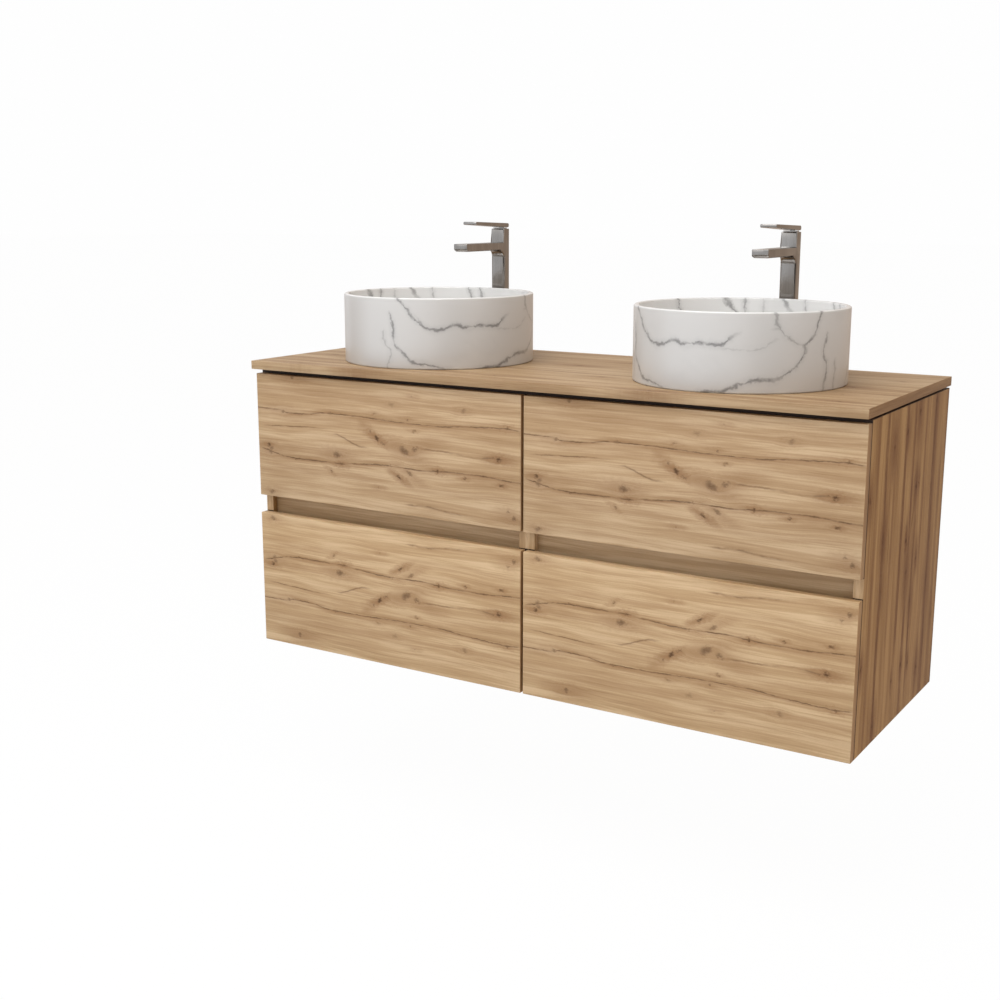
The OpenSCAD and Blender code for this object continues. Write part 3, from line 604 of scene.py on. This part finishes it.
veinsGroup = makeVeins()


def makeStrokes():
    # fine brushing along one axis, with broad smears of polish over it
    tree, takes = newGroup("brushedStrokes", ["Vector", "Fineness"], {}, ["Strokes", "Tone"])
    place = vectorMaths(tree, "MULTIPLY", takes["Vector"], takes["Fineness"])
    strokes = noise(tree, place, detail=3, rough=0.65)
    smears = noise(tree, stretch(tree, takes["Vector"], (22, 22, 9)), detail=3, rough=0.6)
    return giveOut(tree, strokes, timesPlus(tree, smears, 0.5, times(tree, strokes, 0.5)))


def makeSkin():
    # the skin of a moulding or a coating: fine grit and a broad unevenness
    tree, takes = newGroup("mouldedSkin", ["Vector"], {"Grit": 420.0}, ["Fine", "Broad", "Wear"])
    fine = noise(tree, takes["Vector"], takes["Grit"], detail=3, rough=0.6)
    broad = noise(tree, takes["Vector"], 14.0, detail=3, rough=0.6)
    return giveOut(tree, fine, broad, timesPlus(tree, fine, 0.5, times(tree, broad, 0.5)))


strokesGroup = makeStrokes()
skinGroup = makeSkin()


def makeBrushed(name, colour, dark, roughness, fineness=(1200, 1200, 14), spread=0.10, bump=0.06):
    made, tree, shader = newMaterial(name, Metallic=1.0)
    brushed = useGroup(tree, strokesGroup, {"Vector": objectPlace(tree), "Fineness": fineness})
    worn = remap(tree, brushed["Tone"], 0.3, 0.7, roughness - spread / 2, roughness + spread / 2)
    colour = mixColour(tree, remap(tree, brushed["Tone"], 0.35, 0.65), colour, dark)
    dress(tree, shader, colour, worn, brushed["Strokes"], bump, 0.0002)
    return made


def makeMoulded(name, colour, shade, roughness, grit=420, bump=0.08, **values):
    made, tree, shader = newMaterial(name, **values)
    skin = useGroup(tree, skinGroup, {"Vector": objectPlace(tree), "Grit": grit})
    worn = remap(tree, skin["Wear"], 0.3, 0.7, roughness - 0.06, roughness + 0.08)
    colour = mixColour(tree, remap(tree, skin["Broad"], 0.3, 0.7), colour, shade)
    dress(tree, shader, colour, worn, skin["Fine"], bump, 0.0003)
    return made


def makeTextile(name, dark, light):
    # the drawers' lining: a printed cloth weave on the board
    made, tree, shader = newMaterial(name)
    place = objectPlace(tree)
    warps = noise(tree, stretch(tree, place, (90, 1400, 1400)), detail=2)
    wefts = noise(tree, stretch(tree, place, (1400, 90, 90)), detail=2)
    weave = timesPlus(tree, warps, 0.5, times(tree, wefts, 0.5))
    colour = mixColour(tree, remap(tree, weave, 0.35, 0.65), dark, light)
    dress(tree, shader, colour, remap(tree, weave, 0.3, 0.7, 0.7, 0.85), weave, 0.15, 0.0002)
    return made


nickel = makeBrushed("tap_nickel", (0.390, 0.370, 0.350, 1), (0.300, 0.280, 0.262, 1), 0.15, bump=0.025)
chrome = makeBrushed("waste_chrome", (0.780, 0.785, 0.790, 1), (0.700, 0.705, 0.715, 1), 0.10,
                     (160, 160, 160))
zinc = makeBrushed("zinc_plate", (0.560, 0.575, 0.590, 1), (0.430, 0.440, 0.450, 1), 0.42,
                   (90, 700, 90), 0.16)
runnerSteel = makeMoulded("runner_coating", (0.50, 0.51, 0.52, 1), (0.43, 0.44, 0.45, 1), 0.42, 900,
                          Metallic=0.3)
lining = makeTextile("drawer_lining", (0.105, 0.098, 0.090, 1), (0.260, 0.248, 0.232, 1))
trapWhite = makeMoulded("trap_white", (0.82, 0.82, 0.80, 1), (0.74, 0.74, 0.71, 1), 0.32, 300)
rubber = makeMoulded("pad_rubber", (0.026, 0.015, 0.010, 1), (0.040, 0.025, 0.017, 1), 0.75, 700, 0.2,
                     Specular_IOR_Level=0.2)
aeratorBlack = makeMoulded("aerator_black", (0.040, 0.040, 0.042, 1), (0.070, 0.070, 0.072, 1), 0.45, 900, 0.15)
print("other materials made")

# CAD nodes that stay as they are, with their materials
kept = {
    "worktop_pads": rubber, "cabinet_bolts": zinc, "wall_hangers": zinc, "wall_plates": zinc,
    "tap_nuts": zinc, "left_waste": chrome, "right_waste": chrome, "trap_cups": trapWhite,
    "aerators": aeratorBlack,
}
keptKinds = {"_runners": runnerSteel, "_box_": lining, "_trap_": trapWhite, "_cross_rails": oakInside,
             "_tap_neck": nickel}
for name in nodes:
    for part, material in keptKinds.items():
        if part in name:
            kept[name] = material
for name, material in kept.items():
    nodes[name].data.materials.clear()
    nodes[name].data.materials.append(material)


def clearSelection():
    if bpy.context.object and bpy.context.object.mode != "OBJECT":
        bpy.ops.object.mode_set(mode="OBJECT")
    for item in bpy.context.selected_objects:
        item.select_set(False)


def work(piece):
    clearSelection()
    bpy.context.view_layer.objects.active = piece
    piece.select_set(True)


def editAll(piece):
    work(piece)
    bpy.ops.object.mode_set(mode="EDIT")
    bpy.ops.mesh.select_all(action="SELECT")


def named(name):
    # the new primitive gets its name, and its place goes into its mesh
    piece = bpy.context.active_object
    piece.name = piece.data.name = name
    bpy.ops.object.transform_apply(location=True, rotation=True, scale=True)
    return piece


def startBox(name, low, high):
    clearSelection()
    bpy.ops.mesh.primitive_cube_add(size=1, location=(Vector(low) + Vector(high)) / 2)
    bpy.context.active_object.scale = Vector(high) - Vector(low)
    return named(name)


def startRound(name, centre, radius, low, high, steps=64):
    clearSelection()
    bpy.ops.mesh.primitive_cylinder_add(vertices=steps, radius=radius, depth=high - low,
                                        location=(centre[0], centre[1], (low + high) / 2))
    return named(name)


def pick(piece, kind, test):
    # selects the faces whose centre and normal pass the test, or the edges whose two ends do
    work(piece)
    bpy.ops.object.mode_set(mode="EDIT")
    bpy.ops.mesh.select_mode(type="FACE" if kind == "faces" else "EDGE")
    bpy.ops.mesh.select_all(action="DESELECT")
    bpy.ops.object.mode_set(mode="OBJECT")
    if kind == "faces":
        for face in piece.data.polygons:
            face.select = test(face.center, face.normal)
    else:
        for edge in piece.data.edges:
            edge.select = test(*[piece.data.vertices[i].co for i in edge.vertices])
    bpy.ops.object.mode_set(mode="EDIT")


def near(first, second, reach=1e-5):
    return abs(first - second) < reach


def finishPiece(piece, material, body, slot, *replaced, smooth=30):
    editAll(piece)
    bpy.ops.mesh.remove_doubles(threshold=1e-6)
    bpy.ops.mesh.normals_make_consistent(inside=False)
    bpy.ops.object.mode_set(mode="OBJECT")
    bpy.ops.object.shade_smooth_by_angle(angle=math.radians(smooth))
    piece.data.materials.clear()
    piece.data.materials.append(material)
    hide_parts(*replaced)
    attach(piece, body)


def onBothSides(piece, part):
    # the right piece and a copy of it on the left: the copy has its own mesh and moves in edit mode
    work(piece)
    bpy.ops.object.duplicate(linked=False)
    left = bpy.context.active_object
    left.name = left.data.name = piece.name.replace("right_", "left_")
    editAll(left)
    bpy.ops.transform.translate(value=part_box(f"left_{part}")[0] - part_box(f"right_{part}")[0])
    bpy.ops.object.mode_set(mode="OBJECT")
    return (("right", piece), ("left", left))


def cutWith(piece, cutter, operation="DIFFERENCE"):
    work(piece)
    cut = piece.modifiers.new("cut", "BOOLEAN")
    cut.operation = operation
    cut.solver = "EXACT"
    cut.object = cutter
    bpy.ops.object.modifier_apply(modifier=cut.name)
    bpy.data.objects.remove(cutter)


def bevelPicked(width, segments, clamp=False):
    bpy.ops.mesh.bevel(offset=width, segments=segments, affect="EDGES", clamp_overlap=clamp)


def bevelSharp(width, segments, angle=40, clamp=True):
    bpy.ops.mesh.select_mode(type="EDGE")
    bpy.ops.mesh.select_all(action="DESELECT")
    bpy.ops.mesh.edges_select_sharp(sharpness=math.radians(angle))
    bevelPicked(width, segments, clamp)


def turnPiece(name, centre, profile, steps):
    # turns a closed profile of (radius, height) round an upright axis, one ring at a time
    clearSelection()
    radius, height = profile[0]
    bpy.ops.mesh.primitive_circle_add(vertices=steps, radius=radius, fill_type="NOTHING",
                                      location=(centre[0], centre[1], height))
    piece = named(name)
    editAll(piece)
    for nextRadius, nextHeight in profile[1:]:
        bpy.ops.mesh.extrude_region_move(TRANSFORM_OT_translate={"value": (0, 0, nextHeight - height)})
        bpy.ops.transform.resize(value=(nextRadius / radius, nextRadius / radius, 1),
                                 center_override=(centre[0], centre[1], nextHeight))
        radius, height = nextRadius, nextHeight
    bpy.ops.mesh.select_all(action="SELECT")
    bpy.ops.mesh.remove_doubles(threshold=1e-6)
    bpy.ops.mesh.normals_make_consistent(inside=False)
    bpy.ops.object.mode_set(mode="OBJECT")
    return piece


def arc(centre, radius, start, end, steps):
    # points of (radius, height) along an arc, in degrees
    turns = [math.radians(start + (end - start) * i / steps) for i in range(steps + 1)]
    return [(centre[0] + radius * math.cos(t), centre[1] + radius * math.sin(t)) for t in turns]


def middleOf(node):
    low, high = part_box(node)
    return (low + high) / 2


boardShape = {"frontEdge": 0.0009, "panelEdge": 0.0007, "worktopEdge": 0.0010, "segments": 3,
              "wasteHole": 0.024, "tapHole": 0.017}


def makeBoard(node, edge):
    piece = startBox(node + "_board", *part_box(node))
    bpy.ops.object.mode_set(mode="EDIT")
    bpy.ops.mesh.select_mode(type="EDGE")
    bpy.ops.mesh.select_all(action="SELECT")
    bevelPicked(edge, boardShape["segments"])
    bpy.ops.object.mode_set(mode="OBJECT")
    return piece


pairs = {"upper_front": fronts, "lower_front": fronts, "outer_side": oakSide, "inner_side": oakUpright,
         "bottom_panel": oakInside, "finger_board": oakInside}
for part, material in pairs.items():
    isFront = part.endswith("front")
    board = makeBoard(f"right_{part}", boardShape["frontEdge" if isFront else "panelEdge"])
    for side, piece in onBothSides(board, part):
        node = f"{side}_{part}"
        body = f"{side}_{part.split('_')[0]}_drawer" if isFront else "cabinet"
        finishPiece(piece, material[node] if isFront else material, body, "oak", node)

worktop = makeBoard("worktop", boardShape["worktopEdge"])
for side in sides:
    tapCentre = (middleOf(f"{side}_tap_neck").x, middleOf("tap_nuts").y)
    for centre, radius in ((middleOf(f"{side}_waste"), boardShape["wasteHole"]),
                           (tapCentre, boardShape["tapHole"])):
        cutWith(worktop, startRound("cutter", centre, radius, top[0].z - 0.002, top[1].z + 0.002))
finishPiece(worktop, oakTop, "cabinet", "oak", "worktop")
print("boards made")

# radii and heights of the rings between the arcs keep the faces even
sinkShape = {"wall": 0.009, "floor": 0.014, "fillet": 0.028, "edge": 0.003, "lip": 0.0024, "hole": 0.0225,
             "steps": 160, "turned": {"left": 57, "right": 0}, "footRing": 0.012, "wallRings": (0.04, 0.09),
             "innerRings": (0.03, 0.02), "floorRings": (0.1, 0.06, 0.034)}


def makeSink():
    low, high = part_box("right_sink")
    s = sinkShape
    outer = (high.x - low.x) / 2
    inner = outer - s["wall"]
    floor = low.z + s["floor"]
    profile = [(s["hole"], low.z), (outer - s["edge"] - s["footRing"], low.z)]
    profile += arc((outer - s["edge"], low.z + s["edge"]), s["edge"], -90, 0, 4)
    profile += [(outer, low.z + ring) for ring in s["wallRings"]]
    profile += arc((outer - s["edge"], high.z - s["edge"]), s["edge"], 0, 90, 6)
    profile += arc((inner + s["lip"], high.z - s["lip"]), s["lip"], 90, 180, 5)
    profile += [(inner, high.z - s["innerRings"][0]), (inner, floor + s["fillet"] + s["innerRings"][1])]
    profile += arc((inner - s["fillet"], floor + s["fillet"]), s["fillet"], 0, -90, 12)
    profile += [(ring, floor) for ring in s["floorRings"]]
    profile += [(s["hole"] + 0.002, floor), (s["hole"], floor - 0.001), (s["hole"], low.z)]
    return turnPiece("right_sink_ceramic", middleOf("right_sink"), profile, s["steps"])


for side, piece in onBothSides(makeSink(), "sink"):
    low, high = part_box(f"{side}_sink")
    material = makeMarble(f"marble_{side}", middleOf(f"{side}_sink"), high.z, sinkShape["turned"][side],
                          (high.x - low.x) / 2 - sinkShape["wall"])
    finishPiece(piece, material, "cabinet", "marble_ceramic", f"{side}_sink", smooth=35)
print("sinks made")

plugShape = {"radius": 0.031, "thick": 0.0042, "edge": 0.0012, "dome": 0.0012, "stem": 0.004, "tip": 0.0004,
             "steps": 96, "rings": (0.9, 0.75, 0.6, 0.45, 0.3, 0.15, 0.01)}


def makePlug():
    low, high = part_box("right_waste_plug")
    s = plugShape
    rim, under = high.z - s["dome"], high.z - s["thick"]
    profile = [(s["tip"], low.z), (s["stem"], low.z), (s["stem"], under), (s["radius"] - 0.0008, under)]
    profile += arc((s["radius"] - s["edge"], rim - s["edge"]), s["edge"], -40, 80, 5)
    profile += [(s["radius"] * ring, rim + s["dome"] * (1 - ring * ring)) for ring in s["rings"]]
    piece = turnPiece("right_plug_cap", middleOf("right_waste_plug"), profile, s["steps"])
    editAll(piece)
    bpy.ops.mesh.fill_holes(sides=0)
    bpy.ops.object.mode_set(mode="OBJECT")
    return piece


for side, piece in onBothSides(makePlug(), "waste_plug"):
    finishPiece(piece, chrome, f"{side}_plug", "waste_chrome", f"{side}_waste_plug")
print("plugs made")

tapShape = {
    "half": 0.01525, "middle": -0.0295, "back": 0.010, "spoutLow": 0.2015, "spoutHigh": 0.2165,
    "fillet": 0.014, "nose": 0.007, "corner": 0.0046, "upperCorner": 0.0026, "edge": 0.0008,
    "flangeTop": 0.004, "flangeFront": 0.0225, "flangeEdge": 0.0012, "seat": 0.0071, "seatDepth": 0.032,
    "aerator": 0.0097, "aeratorDepth": 0.0085, "shank": 0.011, "bore": 0.0045, "pitch": 0.0015,
    "thread": 0.0008, "threadEnd": 0.0006,
}


def makeTap():
    s = tapShape
    low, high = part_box("right_tap_body")
    deck = top[1].z
    axisX, axisY = middleOf("right_tap_neck").x, s["middle"]
    frontY, backY = axisY - s["back"], axisY + s["back"]
    under, crown = deck + s["spoutLow"], deck + s["spoutHigh"]
    body = startBox("right_tap", (axisX - s["half"], frontY, deck + s["flangeTop"] / 2),
                    (axisX + s["half"], backY, high.z))
    bpy.ops.object.mode_set(mode="EDIT")
    for level in (s["spoutLow"], s["spoutHigh"]):
        bpy.ops.mesh.select_all(action="SELECT")
        bpy.ops.mesh.bisect(plane_co=(axisX, frontY, deck + level), plane_no=(0, 0, 1))
    pick(body, "faces", lambda c, n: n.y < -0.9 and near(c.z, (under + crown) / 2, 0.002))
    bpy.ops.mesh.extrude_region_move(TRANSFORM_OT_translate={"value": (0, low.y - frontY, 0)})
    pick(body, "edges", lambda a, b: all(near(e.y, frontY) and near(e.z, under) for e in (a, b)))
    bevelPicked(s["fillet"], 12)
    bend = s["fillet"]
    # the long soft corners run up the body, round under the spout and along it

    def onCorner(e):
        inFront = near(e.y, frontY, 1e-4) and e.z < under - bend + 1e-4
        inArc = frontY - bend - 1e-4 < e.y < frontY + 1e-4 and under - bend - 1e-4 < e.z < under + 1e-4
        inSpout = near(e.z, under, 1e-4) and e.y < frontY - bend + 1e-4
        return near(abs(e.x - axisX), s["half"], 1e-4) and (inFront or inArc or inSpout)

    pick(body, "edges", lambda a, b: near(a.x, b.x) and onCorner(a) and onCorner(b))
    bevelPicked(s["corner"], 6)
    pick(body, "edges", lambda a, b: all(near(e.y, frontY) and e.z > crown - 1e-4
                                         and near(abs(e.x - axisX), s["half"]) for e in (a, b)))
    bevelPicked(s["upperCorner"], 5)
    # an envelope with the nose's rounding trims the spout's tip
    envelope = startBox("envelope", (axisX - 0.03, low.y, deck), (axisX + 0.03, backY + 0.01, high.z + 0.01))
    pick(envelope, "faces", lambda c, n: n.z < -0.9)
    bpy.ops.transform.translate(value=(0, 0, s["spoutLow"]))
    pick(envelope, "edges", lambda a, b: all(near(e.y, low.y) and near(e.z, under) for e in (a, b)))
    bevelPicked(s["nose"], 8)
    foot = startBox("foot", (axisX - 0.03, low.y + 0.03, deck - 0.01), (axisX + 0.03, backY + 0.01, high.z))
    cutWith(envelope, foot, "UNION")
    cutWith(body, envelope, "INTERSECT")
    editAll(body)
    bpy.ops.mesh.remove_doubles(threshold=1e-5)
    bevelSharp(s["edge"], 3, 50, False)
    flange = startBox("flange", (low.x, axisY - s["flangeFront"], deck),
                      (high.x, high.y, deck + s["flangeTop"]))
    bpy.ops.object.mode_set(mode="EDIT")
    bevelSharp(s["flangeEdge"], 3)
    cutWith(body, flange, "UNION")
    end = s["shank"] - s["threadEnd"]
    thread = [(s["bore"], low.z), (end, low.z)]
    for i in range(int((deck - low.z - 0.004) / s["pitch"])):
        at = low.z + i * s["pitch"]
        thread += [(s["shank"] - s["thread"], at + s["pitch"] * 0.1), (s["shank"], at + s["pitch"] * 0.5)]
    thread += [(end, deck + 0.002), (s["bore"], deck + 0.002), (s["bore"], low.z)]
    shank = turnPiece("shank", (axisX, axisY), thread, 48)
    cutWith(body, startRound("cutter", (axisX, axisY), s["seat"], high.z - s["seatDepth"], high.z + 0.002, 48))
    cutWith(body, startRound("cutter", (axisX, middleOf("aerators").y), s["aerator"], under - 0.002,
                             under + s["aeratorDepth"], 48))
    work(body)
    shank.select_set(True)
    bpy.ops.object.join()
    return body


leverShape = {"back": 0.0042, "tip": 0.006, "backCorner": 0.0036, "tipCorner": 0.0020, "edge": 0.0010,
              "slotHalf": 0.0043, "slotBack": 0.006, "slotFront": 0.007, "slotLow": 0.006, "slotHigh": 0.0029}


def makeLever():
    s = leverShape
    low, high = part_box("right_tap_lever")
    pivotY, pivotZ = high.y - s["back"], low.z + s["back"]
    lever = startBox("right_lever", low, (high.x, high.y, pivotZ + s["back"]))
    pick(lever, "faces", lambda c, n: n.y < -0.9)
    lift = (high.z - s["tip"] / 2) - pivotZ
    bpy.ops.transform.translate(value=(0, 0, lift))
    bpy.ops.transform.resize(value=(1, 1, s["tip"] / (2 * s["back"])),
                             center_override=(0, low.y, pivotZ + lift))
    for end, corner, segments in ((high.y, "backCorner", 6), (low.y, "tipCorner", 4)):
        pick(lever, "edges", lambda a, b: near(a.y, end) and near(b.y, end) and near(a.z, b.z))
        bevelPicked(s[corner], segments, True)
    bevelSharp(s["edge"], 3, 50)
    middle = middleOf("right_tap_neck").x
    cutWith(lever, startBox("cutter", (middle - s["slotHalf"], pivotY - s["slotFront"], pivotZ - s["slotLow"]),
                            (middle + s["slotHalf"], pivotY + s["slotBack"], pivotZ + s["slotHigh"])))
    return lever


tap, lever = makeTap(), makeLever()
for side, piece in onBothSides(tap, "tap_body"):
    finishPiece(piece, nickel, "cabinet", "tap_nickel", f"{side}_tap_body", smooth=32)
for side, piece in onBothSides(lever, "tap_lever"):
    finishPiece(piece, nickel, f"{side}_lever", "tap_nickel", f"{side}_tap_lever", smooth=32)
print("taps made")

studio = {
    "floor": -0.30, "size": 80, "paint": (0.93, 0.93, 0.93, 1), "floorGlow": 0.97, "strength": 0.95,
    "backdrop": 0.992, "coolWay": (-0.60, -0.60, 0.53),
    "warm": (0.68, 0.57, 0.47, 1), "cool": (0.73, 0.74, 0.76, 1),
    "warmMirrored": (0.56, 0.44, 0.35, 1), "coolMirrored": (0.90, 0.93, 0.97, 1),
    # a black card on the right and a brown one on the left, for the taps' round corners
    "cards": [((0.78, -0.62, 0.0), 0.90, 0.97, (0.05, 0.05, 0.05, 1)),
              ((-1.0, -0.12, 0.0), 0.93, 0.97, (0.24, 0.17, 0.12, 1))],
}
clearSelection()
bpy.ops.mesh.primitive_plane_add(size=studio["size"], location=(0, 0, studio["floor"]))
floor = bpy.context.active_object
floor.name = "floor"
paint, tree, shader = newMaterial("floor_paint", Roughness=0.9, Base_Color=studio["paint"],
                                  Specular_IOR_Level=0.1)
glow = addNode(tree, "Emission", {"Color": (1, 1, 1, 1), "Strength": 1.0})
seen = times(tree, addNode(tree, "LightPath").outputs["Is Camera Ray"], studio["floorGlow"])
blend = addNode(tree, "MixShader", {0: seen, 1: shader.outputs[0], 2: glow.outputs[0]})
tree.links.new(blend.outputs[0], tree.nodes["Material Output"].inputs["Surface"])
floor.data.materials.append(paint)
floor.visible_glossy = False

scene = bpy.context.scene
scene.world = bpy.data.worlds.new("studio")
scene.world.use_nodes = True
tree = scene.world.node_tree
tree.nodes.clear()
way = addNode(tree, "TexCoord").outputs["Generated"]
ray = addNode(tree, "LightPath").outputs
toward = vectorMaths(tree, "DOT_PRODUCT", way, studio["coolWay"])
sky = mixColour(tree, remap(tree, toward, -0.7, 0.9),
                mixColour(tree, ray["Is Glossy Ray"], studio["warm"], studio["warmMirrored"]),
                mixColour(tree, ray["Is Glossy Ray"], studio["cool"], studio["coolMirrored"]))
for direction, start, end, colour in studio["cards"]:
    card = remap(tree, vectorMaths(tree, "DOT_PRODUCT", way, direction), start, end)
    sky = mixColour(tree, card, sky, colour)
around = addNode(tree, "Background", {"Color": sky, "Strength": studio["strength"]})
white = addNode(tree, "Background", {"Color": (1, 1, 1, 1), "Strength": studio["backdrop"]})
both = addNode(tree, "MixShader", {0: ray["Is Camera Ray"], 1: around.outputs[0], 2: white.outputs[0]})
addNode(tree, "OutputWorld", {"Surface": both.outputs[0]})

lamps = {
    "keyLight": {"at": (-1.9, -3.6, 2.3), "to": (0, -0.2, 0.4), "size": 2.6, "power": 10,
                 "tint": (1.0, 0.985, 0.96)},
    "topLight": {"at": (-0.2, -1.7, 3.2), "to": (0, -0.2, 0.6), "size": 2.6, "power": 74, "tint": (1, 1, 1)},
    "sideLight": {"at": (3.2, -1.4, 1.6), "to": (0.3, -0.2, 0.5), "size": 1.8, "power": 8,
                  "tint": (1.0, 0.93, 0.86)},
}
for name, lamp in lamps.items():
    data = bpy.data.lights.new(name, "AREA")
    data.energy, data.size, data.color = lamp["power"], lamp["size"], lamp["tint"]
    lightObject = bpy.data.objects.new(name, data)
    scene.collection.objects.link(lightObject)
    lightObject.location = lamp["at"]
    aim = Vector(lamp["to"]) - Vector(lamp["at"])
    lightObject.rotation_euler = aim.to_track_quat("-Z", "Y").to_euler()

view = {"at": (1.2078, -2.4426, 0.8503), "tilt": 77.92, "turn": 32.14, "lens": 49.757}
cameraData = bpy.data.cameras.new("camera")
cameraData.lens = view["lens"]
cameraData.sensor_width = 36
camera = bpy.data.objects.new("camera", cameraData)
scene.collection.objects.link(camera)
camera.location = view["at"]
camera.rotation_euler = (math.radians(view["tilt"]), 0, math.radians(view["turn"]))
scene.camera = camera
scene.view_settings.view_transform = "Standard"
print("stage set")
